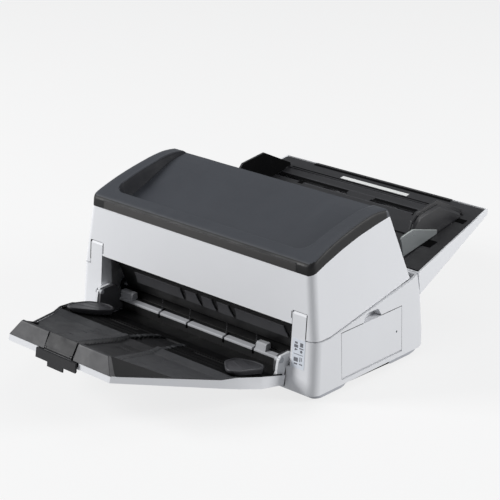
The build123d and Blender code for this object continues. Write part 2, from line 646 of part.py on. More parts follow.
with BuildPart() as stacker_shell:
    with BuildSketch(st_plane):
        Polygon(*outline(0), align=None)
    extrude(amount=30)
    with BuildSketch(side()):
        Polygon((12, 23), (-4.7, 27.3), (-49.9, 41.1), (-80, 47.4), (-99, 47.9), (-223.7, 75.0), (-250, 80.7),
                (-250, 140), (12, 140), align=None)
    extrude(amount=200, both=True, mode=Mode.SUBTRACT)
    with BuildSketch(st_plane.offset(1.8)):
        Polygon(*outline(3.0, 10), align=None)
    extrude(amount=60, mode=Mode.SUBTRACT)
    # gap in the front wall for the pull handle of the extension
    with BuildSketch(st_plane.offset(1.8)):
        with Locations((0, sy(-222))):
            Rectangle(74, 12)
    extrude(amount=20, mode=Mode.SUBTRACT)
    # hinge ears
    for s in (-1, 1):
        with BuildSketch(side(s * 164.2)):
            Polygon((-24, 20.0), (-13.2, 34.0), (-12.2, 40), (-10.2, 48.6), (-6, 52.6), (11, 53.6), (15, 50.5), (15, 43), (3, 34), (0.2, 27),
                    (-4.7, 20), (-4.7, 15.4), (-24, 20.0), align=None)
        extrude(amount=s * 3.5)
    with BuildSketch(side()):
        with Locations((ST_PY, ST_PZ)):
            Circle(PIN_R + RUN)
    extrude(amount=180, both=True, mode=Mode.SUBTRACT)
    for s in (-1, 1):
        with BuildSketch(side(s * 167.0)):
            Polygon((-24, 20.0), (-13.5, 33.5), (-4.7, 27.0), (-4.7, 15.4), align=None)
        extrude(amount=s * 1.6)
save(stacker_shell, "stacker_shell")

# front lip of the tray, in two halves beside the stopper
with BuildPart() as stacker_lip:
    with BuildSketch(side()):
        Polygon((-217.3, 70.0), (-217.3, 74.6), (-222.4, 75.5), (-212.8, 93.2), (-211.6, 94.3), (-209.6, 93.8), (-209.4, 92.0), (-214.4, 77.0), (-214.4, 69.2), align=None)
    extrude(amount=95, both=True)
    with BuildSketch(front(-200)):
        for s in (-1, 1):
            Polygon((s * 25.6, 60.0), (s * 90.6, 60.0), (s * 90.6, 72.0), (s * 78.5, 95.4), (s * 25.6, 95.4), align=None)
    extrude(amount=40, mode=Mode.INTERSECT)
DECK = [(-1.0, 25.8), (-49.9, 40.6), (-80.8, 47.2), (-100.0, 47.5), (-216.0, 72.9)]   # top of the tray floor
with BuildPart() as stacker_tray:
    with BuildSketch(side()):
        Polygon(*DECK, *[(y, z - 1.8) for y, z in reversed(DECK)], align=None)
    extrude(amount=180, both=True)
    with BuildSketch(st_plane):
        Polygon(*outline(3.3, -5.2), align=None)
        with Locations((0, sy(-223.0))):
            Rectangle(76, 15, mode=Mode.SUBTRACT)
        with Locations((-166.5, sy(-14)), (166.5, sy(-14))):
            Rectangle(7.0, 30, mode=Mode.SUBTRACT)
        with Locations((-105, sy(-47)), (105, sy(-47))):
            SlotOverall(118, 4.4, mode=Mode.SUBTRACT)
    extrude(amount=40, mode=Mode.INTERSECT)
    # ribs that carry the floor on the shell
    for x in (-60, 60):
        with BuildSketch(side(x)):
            Polygon((-90, 36.9), (-200, 63.3), (-200, 68.2), (-100.0, 46.5), (-90, 46.3), align=None)
        extrude(amount=2, both=True)
    add(stacker_lip.part)
    # bridges that carry the lip halves on the floor
    for s in (-1, 1):
        with BuildSketch(side(s * 64)):
            Polygon((-217.3, 69.8), (-217.3, 74.0), (-212.0, 74.0), (-206.0, 68.4), (-206.0, 66.9), align=None)
        extrude(amount=25.4, both=True)
    # triangular cheeks from the lip down to the side walls
    for s in (-1, 1):
        p1, p2, p3 = Vector(s * 88.4, -216.4, 70.6), Vector(s * 78.8, -211.5, 94.0), Vector(s * 123.0, -150.0, 56.6)
        cheek = Plane(origin=p1, x_dir=p3 - p1, z_dir=(p3 - p1).cross(p2 - p1) * s)
        p4 = p3 + Vector(0, 0, 3.5)
        loc = [cheek.to_local_coords(p) for p in (p1, p2, p4, p3)]
        with BuildSketch(cheek):
            Polygon(*[(p.X, p.Y) for p in loc], align=None)
        extrude(amount=-2.2)
save(stacker_tray, "stacker_tray")

with BuildPart() as stacker_extension:
    with BuildSketch(st_plane.offset(2.0)):
        with Locations((0, sy(-167.5))):
            Rectangle(66, 116)
    extrude(amount=1.7)
    with BuildSketch(side()):
        Polygon((-224.1, 68.2), (-224.1, 75.6), (-226.4, 75.0), (-228.4, 63.4), (-226.6, 62.6), (-224.6, 64.2), (-224.6, 68.2), align=None)
    extrude(amount=36, both=True)
    with BuildSketch(side()):
        Polygon((-224.1, 69.0), (-224.1, 70.3), (-218.2, 69.2), (-218.2, 67.9), align=None)
    extrude(amount=33, both=True)
    # grip of the pull handle
    with BuildSketch(side()):
        Polygon((-228.4, 63.5), (-229.0, 57.6), (-227.2, 57.0), (-226.2, 62.9), align=None)
    extrude(amount=14, both=True)
    # lugs of the stopper hinge
    for x in (-23.0, 23.0):
        with BuildSketch(side(x)):
            Polygon((-222.8, 69.5), (-222.8, 77.6), (-221.8, 79.0), (-219.4, 79.0), (-218.4, 77.6), (-218.4, 69.3), align=None)
            with Locations((-220.6, 76.6)):
                Circle(1.2, mode=Mode.SUBTRACT)
        extrude(amount=1.4, both=True)
save(stacker_extension, "stacker_extension")
with BuildPart() as stopper_pin:
    with BuildSketch(side(-24.4)):
        with Locations((-220.6, 76.6)):
            Circle(1.2)
    extrude(amount=48.8)
save(stopper_pin, "stopper_pin")
with BuildPart() as stacker_stopper:
    with BuildSketch(side()):
        Polygon((-222.8, 77.0), (-220.9, 80.6), (-212.8, 93.2), (-211.6, 94.3), (-209.6, 93.8), (-209.4, 92.0), (-218.4, 76.2), align=None)
    extrude(amount=24.6, both=True)
    with BuildSketch(side()):
        with Locations((-220.6, 76.6)):
            Circle(2.3)
    extrude(amount=21.0, both=True)
    for x in (-23.2, 23.2):
        with BuildSketch(side(x)):
            Polygon((-226, 70), (-226, 79.6), (-215, 79.6), (-215, 70), align=None)
        extrude(amount=2.0, both=True, mode=Mode.SUBTRACT)
    with BuildSketch(side()):
        with Locations((-220.6, 76.6)):
            Circle(1.2 + RUN)
    extrude(amount=30, both=True, mode=Mode.SUBTRACT)
save(stacker_stopper, "stacker_stopper")

# sliding sheet guides of the stacker: thin plates on the floor, each with a stem in its slot
for nm, s in (("left", -1), ("right", 1)):
    with BuildPart() as pad:
        with BuildSketch(side()):
            Polygon((-82, 52.3), (-62, 46.2), (-49.9, 43.4), (-5.2, 29.8), (-5.2, 27.6), (-49.9, 41.0), (-62, 43.9), (-82, 49.9), align=None)
        extrude(amount=200, both=True)
        with BuildSketch(Plane.XY):
            Polygon((s * 152, -78), (s * 157.0, -66), (s * 158.5, -40), (s * 157.5, -30), (s * 148, -16), (s * 130, -16),
                    (s * 116, -32), (s * 122, -52), (s * 144, -76), align=None)
        extrude(amount=80, mode=Mode.INTERSECT)
        with BuildSketch(Plane.XY.offset(36.0)):
            with Locations((s * 138.0, -43.9)):
                Rectangle(20, 2.6)
        extrude(amount=4.2)
    save(pad, f"stacker_guide_{nm}")

with BuildPart() as stacker_hinge_arms:
    for s in (-1, 1):
        with BuildSketch(side(s * 159.6)):
            Polygon((-11.8, 33.0), (-10.2, 46.5), (-6, 51.0), (-2, 52.0), (15, 52.4), (21, 49.5), (24.5, 42), (24.5, 24), (29.8, 22), (29.8, 14.2), (8.0, 14.2),
                    (6, 26), (-4, 30), (-9, 30.6), align=None)
        extrude(amount=s * 3.8)
        with BuildSketch(side(s * 159.6)):
            with Locations((ST_PY, ST_PZ)):
                Circle(PIN_R)
        extrude(amount=s * 3.8, mode=Mode.SUBTRACT)
save(stacker_hinge_arms, "stacker_hinge_arms")
with BuildPart() as stacker_pivot_pins:
    for s in (-1, 1):
        with BuildSketch(side(s * 159.6)):
            with Locations((ST_PY, ST_PZ)):
                Circle(PIN_R)
        extrude(amount=s * 8.6)
        with BuildSketch(side(s * 168.0)):
            with Locations((ST_PY, ST_PZ)):
                Circle(3.9)
        extrude(amount=s * 1.5)
save(stacker_pivot_pins, "stacker_pivot_pins")

# ================================================================= OPERATOR PANEL
DX = 203.0                # inner face of the closed panel
with BuildPart() as operator_panel:
    with BuildSketch(front(DOOR_Y1 - 0.6)):
        Polygon((DX, 14.6), (215.4, 14.6), (216 - SIDE_DRAFT * 76.9 - 0.05, 76.9), (DX, 76.9), align=None)
    extrude(amount=DOOR_Y1 - DOOR_Y0 - 1.2)
    fillet(operator_panel.edges().filter_by(Axis.Y).sort_by(Axis.Z)[:2].sort_by(Axis.X)[-1], radius=2.9)
    with BuildSketch(side(DX)):
        with Locations((92, 50)):
            RectangleRounded(58, 34, 2)
    extrude(amount=1.6, mode=Mode.SUBTRACT)
    with BuildSketch(side(DX)):
        with Locations((132, 60), (132, 38), (152, 60), (152, 38)):
            Circle(5.2)
    extrude(amount=4.4, mode=Mode.SUBTRACT)
    for ya, yb in ((55.0, 61.0), (171.0, 177.0)):
        with BuildSketch(front(yb)):
            with Locations((DOOR_PX, DOOR_PZ)):
                Circle(1.5 + RUN)
        extrude(amount=yb - ya, mode=Mode.SUBTRACT)
    with BuildSketch(side(230)):
        with Locations((166, 45)):
            Circle(1.5)
    extrude(amount=-20, mode=Mode.SUBTRACT)
save(operator_panel, "operator_panel")
with BuildPart() as panel_display:
    with BuildSketch(side(DX + 0.2)):
        with Locations((92, 50)):
            RectangleRounded(57.6, 33.6, 1.8)
    extrude(amount=1.4)
save(panel_display, "panel_display")
with BuildPart() as power_lamp:
    with BuildSketch(side(210)):
        with Locations((166, 45)):
            Circle(1.45)
    extrude(amount=4.2)
save(power_lamp, "power_lamp")
for nm, y, z in (("scan_button", 152, 60), ("stop_button", 152, 38), ("menu_button", 132, 60), ("power_button", 132, 38)):
    with BuildPart() as key:
        with BuildSketch(side(DX - 0.8)):
            with Locations((y, z)):
                Circle(4.9)
        extrude(amount=4.2)
        fillet(key.faces().sort_by(Axis.X)[0].edges(), radius=0.7)
    save(key, nm)
with BuildPart() as panel_hinge_pins:
    for ya, yb in ((50.0, 60.0), (172.0, 182.0)):
        with BuildSketch(front(yb)):
            with Locations((DOOR_PX, DOOR_PZ)):
                Circle(1.5)
        extrude(amount=yb - ya)
save(panel_hinge_pins, "panel_hinge_pins")

# screws that hold the bottom pan
with BuildPart() as casing_screws:
    for x, y in ((-150, 40), (150, 40), (-150, 172), (150, 172), (0, 40), (0, 172)):
        with BuildSketch(Plane.XY.offset(0.4)):
            with Locations((x, y)):
                Circle(3.2)
        extrude(amount=1.2)
        with BuildSketch(Plane.XY.offset(0.4)):
            with Locations((x, y)):
                Rectangle(4.2, 0.9)
                Rectangle(0.9, 4.2)
        extrude(amount=0.7, mode=Mode.SUBTRACT)
save(casing_screws, "casing_screws")
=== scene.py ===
import bpy
import bmesh
import json
import math
from mathutils import Matrix, Vector

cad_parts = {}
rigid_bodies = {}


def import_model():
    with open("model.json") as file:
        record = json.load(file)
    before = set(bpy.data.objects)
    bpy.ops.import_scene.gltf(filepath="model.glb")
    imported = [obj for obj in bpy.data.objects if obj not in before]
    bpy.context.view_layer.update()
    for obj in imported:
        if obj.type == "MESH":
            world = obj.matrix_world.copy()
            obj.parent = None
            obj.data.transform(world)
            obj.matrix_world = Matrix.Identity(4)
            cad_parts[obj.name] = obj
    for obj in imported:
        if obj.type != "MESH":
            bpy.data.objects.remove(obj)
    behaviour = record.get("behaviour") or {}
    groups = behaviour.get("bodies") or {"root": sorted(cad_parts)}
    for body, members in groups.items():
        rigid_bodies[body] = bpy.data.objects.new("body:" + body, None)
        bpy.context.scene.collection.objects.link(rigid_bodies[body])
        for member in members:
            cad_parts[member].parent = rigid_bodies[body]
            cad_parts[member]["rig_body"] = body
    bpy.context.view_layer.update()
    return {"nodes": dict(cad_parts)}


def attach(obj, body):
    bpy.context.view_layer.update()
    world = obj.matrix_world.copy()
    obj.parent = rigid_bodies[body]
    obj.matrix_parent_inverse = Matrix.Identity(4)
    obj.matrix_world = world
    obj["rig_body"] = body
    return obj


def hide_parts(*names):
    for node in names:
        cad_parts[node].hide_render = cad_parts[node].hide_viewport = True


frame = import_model()
NODES = frame["nodes"]
SC = bpy.context.scene
YM = 87.2          # shift between the datum used for the measures below and the row frame, mm


def P(x, y, z):
    """A point given in mm from the lower front edge of the casing, in the row frame, in metres."""
    return Vector((x * 0.001, (y - YM) * 0.001, z * 0.001))


# ------------------------------------------------------------------ camera
cam_data = bpy.data.cameras.new("camera")
cam = bpy.data.objects.new("camera", cam_data)
SC.collection.objects.link(cam)
cam_data.lens = 116.9
cam_data.sensor_width = 36.0
cam_data.clip_start = 0.05
cam_data.clip_end = 40.0
cam.location = P(1388.91, -1375.18, 884.60)
cam.rotation_euler = (math.radians(90 - 20.65), 0.0, math.radians(42.93))
SC.camera = cam
SC.view_settings.view_transform = "Standard"

# ------------------------------------------------------------------ materials
MATS = {}


def lin(c):
    return tuple(((v / 255.0) / 12.92 if v <= 10.3 else (((v / 255.0) + 0.055) / 1.055) ** 2.4) for v in c)


class Tree:
    """Small helper to write node materials."""

    def __init__(self, name):
        self.mat = bpy.data.materials.new(name)
        self.mat.use_nodes = True
        self.nt = self.mat.node_tree
        self.nt.nodes.clear()
        self.out = self.n("ShaderNodeOutputMaterial")
        self.bsdf = self.n("ShaderNodeBsdfPrincipled")
        self.link(self.bsdf, "BSDF", self.out, "Surface")
        self.coord = self.n("ShaderNodeTexCoord")

    def n(self, kind, **kw):
        node = self.nt.nodes.new(kind)
        for k, v in kw.items():
            setattr(node, k, v)
        return node

    def link(self, a, sa, b, sb):
        self.nt.links.new(a.outputs[sa], b.inputs[sb])

    def noise(self, scale, detail=2.0, rough=0.5, dist=0.0, stretch=None):
        t = self.n("ShaderNodeTexNoise")
        t.inputs["Scale"].default_value = scale
        t.inputs["Detail"].default_value = detail
        t.inputs["Roughness"].default_value = rough
        t.inputs["Distortion"].default_value = dist
        if stretch:
            m = self.n("ShaderNodeMapping")
            m.inputs["Scale"].default_value = stretch
            self.link(self.coord, "Object", m, "Vector")
            self.link(m, "Vector", t, "Vector")
        else:
            self.link(self.coord, "Object", t, "Vector")
        return t

    def ramp(self, src, sock, lo, hi, a=0.0, b=1.0):
        m = self.n("ShaderNodeMapRange")
        m.inputs["From Min"].default_value = lo
        m.inputs["From Max"].default_value = hi
        m.inputs["To Min"].default_value = a
        m.inputs["To Max"].default_value = b
        self.link(src, sock, m, "Value")
        return m

    def mix(self, fac, fac_sock, c1, c2):
        m = self.n("ShaderNodeMix", data_type="RGBA")
        if fac is None:
            m.inputs[0].default_value = 0.5
        else:
            self.nt.links.new(fac.outputs[fac_sock], m.inputs[0])
        for i, c in ((6, c1), (7, c2)):
            if isinstance(c, tuple):
                m.inputs[i].default_value = (*c[:3], 1.0)
            else:
                self.nt.links.new(c[0].outputs[c[1]], m.inputs[i]) if isinstance(c, list) else None
        return m


def plastic(name, rgb, rough=0.42, grain=1400.0, bump=0.10, dist=0.00012, var=0.05, wear=0.12, wear_rgb=None,
            coat=0.0, spec=0.5, smudge=0.08, edge=0.0006):
    """Moulded plastic: spark-eroded grain, slow mottling, soft handling marks and rubbed edges."""
    if name in MATS:
        return MATS[name]
    t = Tree(name)
    base = lin(rgb)
    dark = tuple(v * (1 - var) for v in base)
    light = tuple(min(1.0, v * (1 + var)) for v in base)
    slow = t.noise(9.0, 3.0, 0.55)
    slow_r = t.ramp(slow, "Fac", 0.3, 0.7)
    c = t.mix(slow_r, "Result", dark, light)
    fine = t.noise(grain, 2.0, 0.6)
    fine_r = t.ramp(fine, "Fac", 0.35, 0.65)
    c2 = t.n("ShaderNodeMix", data_type="RGBA", blend_type="MULTIPLY")
    c2.inputs[0].default_value = min(0.5, var * 3.0)
    t.nt.links.new(c.outputs[2], c2.inputs[6])
    tint = t.ramp(fine, "Fac", 0.3, 0.7, 0.82, 1.12)
    comb = t.n("ShaderNodeCombineColor")
    for k in ("Red", "Green", "Blue"):
        t.link(tint, "Result", comb, k)
    t.nt.links.new(comb.outputs[0], c2.inputs[7])
    last = c2
    if wear > 0:
        bev = t.n("ShaderNodeBevel", samples=4)
        bev.inputs["Radius"].default_value = edge
        geo = t.n("ShaderNodeNewGeometry")
        dot = t.n("ShaderNodeVectorMath", operation="DOT_PRODUCT")
        t.link(bev, "Normal", dot, 0)
        t.link(geo, "Normal", dot, 1)
        m = t.ramp(dot, "Value", 0.985, 0.86, 0.0, 1.0)
        brk = t.noise(260.0, 4.0, 0.7)
        brk_r = t.ramp(brk, "Fac", 0.38, 0.62, 0.25, 1.0)
        mul = t.n("ShaderNodeMath", operation="MULTIPLY")
        t.link(m, "Result", mul, 0)
        t.link(brk_r, "Result", mul, 1)
        mul2 = t.n("ShaderNodeMath", operation="MULTIPLY")
        t.link(mul, "Value", mul2, 0)
        mul2.inputs[1].default_value = wear
        wr = lin(wear_rgb) if wear_rgb else tuple(min(1.0, v * 1.7 + 0.02) for v in base)
        c3 = t.n("ShaderNodeMix", data_type="RGBA")
        t.nt.links.new(mul2.outputs[0], c3.inputs[0])
        t.nt.links.new(last.outputs[2], c3.inputs[6])
        c3.inputs[7].default_value = (*wr, 1.0)
        last = c3
    t.nt.links.new(last.outputs[2], t.bsdf.inputs["Base Color"])
    marks = t.noise(34.0, 5.0, 0.62, 0.6)
    r = t.ramp(marks, "Fac", 0.3, 0.7, max(0.05, rough - smudge), min(1.0, rough + smudge))
    t.link(r, "Result", t.bsdf, "Roughness")
    b = t.n("ShaderNodeBump")
    b.inputs["Strength"].default_value = bump
    b.inputs["Distance"].default_value = dist
    t.link(fine_r, "Result", b, "Height")
    t.link(b, "Normal", t.bsdf, "Normal")
    t.bsdf.inputs["Specular IOR Level"].default_value = spec
    t.bsdf.inputs["Coat Weight"].default_value = coat
    t.bsdf.inputs["Coat Roughness"].default_value = 0.12
    MATS[name] = t.mat
    return t.mat


def metal(name, rgb, rough=0.3, stretch=(400, 8, 400), bump=0.06):
    if name in MATS:
        return MATS[name]
    t = Tree(name)
    base = lin(rgb)
    br = t.noise(1.0, 4.0, 0.6, 0.0, stretch)
    c = t.mix(t.ramp(br, "Fac", 0.3, 0.7), "Result", tuple(v * 0.82 for v in base), tuple(min(1, v * 1.12) for v in base))
    t.nt.links.new(c.outputs[2], t.bsdf.inputs["Base Color"])
    r = t.ramp(br, "Fac", 0.3, 0.7, rough - 0.08, rough + 0.1)
    t.link(r, "Result", t.bsdf, "Roughness")
    t.bsdf.inputs["Metallic"].default_value = 1.0
    b = t.n("ShaderNodeBump")
    b.inputs["Strength"].default_value = bump
    b.inputs["Distance"].default_value = 0.0001
    t.link(br, "Fac", b, "Height")
    t.link(b, "Normal", t.bsdf, "Normal")
    MATS[name] = t.mat
    return t.mat


def glassy(name):
    t = Tree(name)
    t.bsdf.inputs["Base Color"].default_value = (0.75, 0.82, 0.82, 1)
    n = t.noise(60.0, 3.0)
    r = t.ramp(n, "Fac", 0.3, 0.7, 0.02, 0.09)
    t.link(r, "Result", t.bsdf, "Roughness")
    t.bsdf.inputs["Transmission Weight"].default_value = 0.85
    t.bsdf.inputs["IOR"].default_value = 1.5
    MATS[name] = t.mat
    return t.mat


M_WHITE = plastic("mat_shell_white", (226, 227, 230), rough=0.46, grain=1100, bump=0.05, var=0.012, wear=0.35, wear_rgb=(238, 238, 240), spec=0.35, smudge=0.05)
M_WHITE_IN = plastic("mat_shell_inner", (196, 198, 203), rough=0.55, grain=1000, bump=0.08, var=0.03, wear=0.2, spec=0.35)
M_PAN = plastic("mat_pan_grey", (176, 178, 184), rough=0.55, grain=900, bump=0.12, var=0.04, wear=0.25, spec=0.35)
M_TOP = plastic("mat_charcoal", (58, 61, 67), rough=0.48, grain=1000, bump=0.16, var=0.05, wear=0.25, wear_rgb=(120, 122, 128), spec=0.5)
M_BAND = plastic("mat_band", (50, 49, 49), rough=0.36, grain=1500, bump=0.02, var=0.02, wear=0.04, wear_rgb=(80, 79, 78), spec=0.42, smudge=0.015)
M_TRAY = plastic("mat_tray_dark", (38, 38, 40), rough=0.44, grain=1000, bump=0.18, var=0.08, wear=0.3, wear_rgb=(92, 92, 96), spec=0.5)
M_LIP = plastic("mat_lip_grey", (45, 45, 48), rough=0.54, grain=900, bump=0.16, var=0.06, wear=0.35, wear_rgb=(130, 130, 132), spec=0.45)
M_GUIDE = plastic("mat_guide_dark", (32, 32, 35), rough=0.40, grain=1100, bump=0.10, var=0.07, wear=0.35, wear_rgb=(110, 110, 114), spec=0.5)
M_INNER = plastic("mat_inner_black", (20, 20, 21), rough=0.42, grain=1100, bump=0.12, var=0.1, wear=0.25, wear_rgb=(70, 70, 72), spec=0.45)
M_HOP = plastic("mat_hopper_dark", (33, 33, 36), rough=0.46, grain=900, bump=0.22, var=0.08, wear=0.3, wear_rgb=(98, 98, 102), spec=0.5)
M_FIN = plastic("mat_fin", (112, 116, 117), rough=0.33, grain=1500, bump=0.05, var=0.06, wear=0.3, wear_rgb=(170, 176, 172), spec=0.5, coat=0.1)
M_STRIP = plastic("mat_strip", (176, 177, 181), rough=0.40, grain=1300, bump=0.05, var=0.04, wear=0.35, wear_rgb=(205, 205, 208), spec=0.5)
M_RUB = plastic("mat_rubber", (34, 34, 35), rough=0.75, grain=700, bump=0.25, var=0.1, wear=0.2, spec=0.3)
M_TYRE = plastic("mat_tyre", (66, 67, 70), rough=0.8, grain=600, bump=0.35, var=0.12, wear=0.2, spec=0.25)
M_STEEL = metal("mat_steel", (190, 191, 194), 0.28)
M_WIRE = metal("mat_wire", (120, 120, 122), 0.2, (60, 60, 900))
M_FRAME = metal("mat_zinc_sheet", (150, 152, 156), 0.4, (60, 60, 60))
M_GLASS = glassy("mat_glass")
M_BOARD = plastic("mat_board", (24, 82, 48), rough=0.35, grain=300, bump=0.2, var=0.2, wear=0.2, spec=0.5)
M_BRASS = metal("mat_brass", (196, 168, 98), 0.3)
M_SCREEN = plastic("mat_screen", (18, 20, 24), rough=0.12, grain=1500, bump=0.01, var=0.05, wear=0.1, spec=0.5, coat=0.4)
M_LAMP = plastic("mat_lamp", (40, 46, 58), rough=0.2, grain=900, bump=0.02, var=0.1, wear=0.2, spec=0.5)
M_BTN = plastic("mat_button", (70, 71, 74), rough=0.4, grain=1200, bump=0.08, var=0.05, wear=0.3, spec=0.5)
M_LABEL = plastic("mat_label", (222, 227, 235), rough=0.3, grain=600, bump=0.03, var=0.03, wear=0.1, spec=0.5)
M_INK = plastic("mat_scale_ink", (222, 223, 222), rough=0.5, grain=900, bump=0.06, var=0.03, wear=0.1, spec=0.4)
M_PRINT = plastic("mat_print_grey", (112, 114, 120), rough=0.5, grain=900, bump=0.03, var=0.06, wear=0.0, spec=0.3)

M_PIN = plastic("mat_pin_grey", (176, 178, 182), rough=0.5, grain=1100, bump=0.08, var=0.06, wear=0.2, spec=0.4)

M_ARM = plastic("mat_arm_grey", (74, 74, 77), rough=0.42, grain=1100, bump=0.10, var=0.07, wear=0.35, wear_rgb=(128, 128, 132), spec=0.5)
M_FLOOR = plastic("mat_exit_floor", (10, 10, 11), rough=0.55, grain=1100, bump=0.12, var=0.1, wear=0.15, wear_rgb=(52, 52, 54), spec=0.18)
M_LIP_MID = plastic("mat_lip_middle", (34, 34, 36), rough=0.58, grain=900, bump=0.16, var=0.06, wear=0.3, wear_rgb=(110, 110, 112), spec=0.3)
# near-black: the dark joints (pillar seams, panel gap) and painted shade (chute slots and pockets, the inner face of
# the left hopper guide)
M_BLACK_JOINTS_AND_SHADE = plastic("mat_black_joints_and_painted_shade", (4, 4, 5), rough=0.75, grain=900, bump=0.1, var=0.1, wear=0.0, spec=0.06)
M_RIM = plastic("mat_cover_rim", (25, 25, 26), rough=0.5, grain=1200, bump=0.08, var=0.05, wear=0.12, wear_rgb=(70, 70, 71), spec=0.25)
# painted highlight: a lighter copy of the fin colour for the upward faces of the fins
M_FIN_TOP_HIGHLIGHT = plastic("mat_fin_top_painted_highlight", (176, 182, 180), rough=0.3, grain=1500, bump=0.05, var=0.05, wear=0.2, spec=0.5)

NODE_MAT = {
    "base_housing": M_WHITE, "bottom_pan": M_PAN, "rubber_feet": M_RUB, "casing_screws": M_STEEL, "side_frames": M_FRAME,
    "lower_paper_guide": M_FLOOR, "exit_floor": M_FLOOR, "exit_strip": M_STRIP, "exit_wires": M_WIRE, "lower_glass": M_GLASS,
    "lower_image_unit": M_INNER, "exit_roller_shaft": M_STEEL, "exit_roller_tyres": M_TYRE, "feed_roller_shaft": M_STEEL,
    "feed_roller_tyres": M_TYRE, "pick_roller_shaft": M_STEEL, "pick_roller_tyres": M_TYRE, "motor_pulley": M_BRASS,
    "drive_motor": M_FRAME, "drive_belts": M_RUB, "main_board": M_BOARD, "power_inlet": M_INNER, "data_socket": M_STEEL,
    "cover_hinge_pins": M_STEEL, "instruction_label": M_LABEL, "hopper_shell": M_WHITE, "hopper_tray": M_HOP, "size_scale": M_INK,
    "hopper_extension": M_HOP, "hopper_guide_left": M_GUIDE, "hopper_guide_right": M_GUIDE, "guide_fin_left": M_FIN, "guide_fin_right": M_FIN,
    "cover_shell": M_WHITE, "top_cover": M_TOP, "front_trim": M_BAND, "upper_paper_guide": M_INNER, "upper_side_frames": M_FRAME,
    "upper_exit_roller": M_TYRE, "upper_feed_roller": M_TYRE, "brake_roller": M_TYRE, "upper_glass": M_GLASS, "upper_image_unit": M_INNER,
    "stacker_shell": M_WHITE, "stacker_tray": M_TRAY, "stacker_extension": M_LIP_MID, "stopper_pin": M_STEEL, "stacker_stopper": M_LIP_MID,
    "stacker_guide_left": M_GUIDE, "stacker_guide_right": M_GUIDE, "stacker_hinge_arms": M_ARM, "stacker_pivot_pins": M_PIN,
    "operator_panel": M_WHITE, "panel_display": M_SCREEN, "power_lamp": M_LAMP, "scan_button": M_BTN, "stop_button": M_BTN,
    "menu_button": M_BTN, "power_button": M_BTN, "panel_hinge_pins": M_STEEL,
}
for node, m in NODE_MAT.items():
    ob = NODES[node]
    if not ob.data.materials:
        ob.data.materials.append(m)
    for i in range(len(ob.data.materials)):
        ob.data.materials[i] = m

# ------------------------------------------------------------------ mesh helpers
def new_object(name, bm, material, smooth_angle=35.0):
    me = bpy.data.meshes.new(name)
    bm.normal_update()
    bm.to_mesh(me)
    bm.free()
    ob = bpy.data.objects.new(name, me)
    SC.collection.objects.link(ob)
    for m in (material if isinstance(material, (list, tuple)) else [material]):
        me.materials.append(m)
    me.shade_smooth()
    me.set_sharp_from_angle(angle=math.radians(smooth_angle))
    return ob


def weighted(ob):
    w = ob.modifiers.new("weighted", "WEIGHTED_NORMAL")
    w.keep_sharp = True
    w.weight = 60
    return ob


def soften(node, width=0.5, name=None, material=None, angle=28.0, segments=2, zone=None):
    """Copy of a CAD piece with its sharp edges rounded, in place of the CAD piece."""
    src = NODES[node]
    bm = bmesh.new()
    bm.from_mesh(src.data)
    bmesh.ops.remove_doubles(bm, verts=bm.verts, dist=2e-6)
    bmesh.ops.dissolve_limit(bm, angle_limit=math.radians(0.6), verts=bm.verts, edges=bm.edges, use_dissolve_boundaries=False)
    bm.edges.ensure_lookup_table()
    sharp = [e for e in bm.edges if len(e.link_faces) == 2 and e.calc_face_angle(0) > math.radians(angle)]
    for _ in range(1):
        bmesh.ops.bevel(bm, geom=sharp, offset=width * 0.001, offset_type="OFFSET", segments=segments, profile=0.5,
                        affect="EDGES", clamp_overlap=True, miter_outer="SHARP")
    if zone:
        bm.normal_update()
        for f in bm.faces:
            f.material_index = 1 if zone(f) else 0
    ob = new_object(name or node + "_body", bm, material or NODE_MAT[node], 40.0)
    weighted(ob)
    body = src["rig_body"]
    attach(ob, body)
    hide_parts(node)
    return ob


SOFT_WIDTH = {
    "cover_shell": 0.6, "base_housing": 0.6, "stacker_shell": 0.7, "hopper_shell": 0.6, "operator_panel": 0.4, "bottom_pan": 0.8,
    "stacker_hinge_arms": 0.5, "stacker_extension": 0.5, "lower_paper_guide": 0.4, "hopper_guide_left": 0.6, "hopper_guide_right": 0.6, "stacker_stopper": 0.6, "front_trim": 0.4,
    "hopper_extension": 0.5, "guide_fin_left": 0.5, "guide_fin_right": 0.5,
}
ZONES = {
    "hopper_shell": (M_HOP, lambda f: f.calc_center_median().y * 1000 + YM > 397.5 and f.normal.z > 0.2),
    # painted shade: the face of the left hopper guide toward the middle is made near-black
    "hopper_guide_left": (M_BLACK_JOINTS_AND_SHADE, lambda f: f.normal.x > 0.75),
    # painted highlight on the upward faces of the fins
    "guide_fin_left": (M_FIN_TOP_HIGHLIGHT, lambda f: f.normal.z > 0.35),
    "guide_fin_right": (M_FIN_TOP_HIGHLIGHT, lambda f: f.normal.z > 0.35),
}
for node, w in SOFT_WIDTH.items():
    if node in ZONES:
        soften(node, w, material=[NODE_MAT[node], ZONES[node][0]], zone=ZONES[node][1])
    else:
        soften(node, w)


# ------------------------------------------------------------------ detail pieces
def smooth(a, b, v):
    t = min(1.0, max(0.0, (v - a) / (b - a))) if a != b else float(v >= a)
    return t * t * (3 - 2 * t)


def pline(pts, v):
    """Value of a broken line, pts sorted by their first number."""
    if v <= pts[0][0]:
        return pts[0][1]
    for (a, fa), (b, fb) in zip(pts, pts[1:]):
        if v <= b:
            return fa + (fb - fa) * (v - a) / (b - a)
    return pts[-1][1]


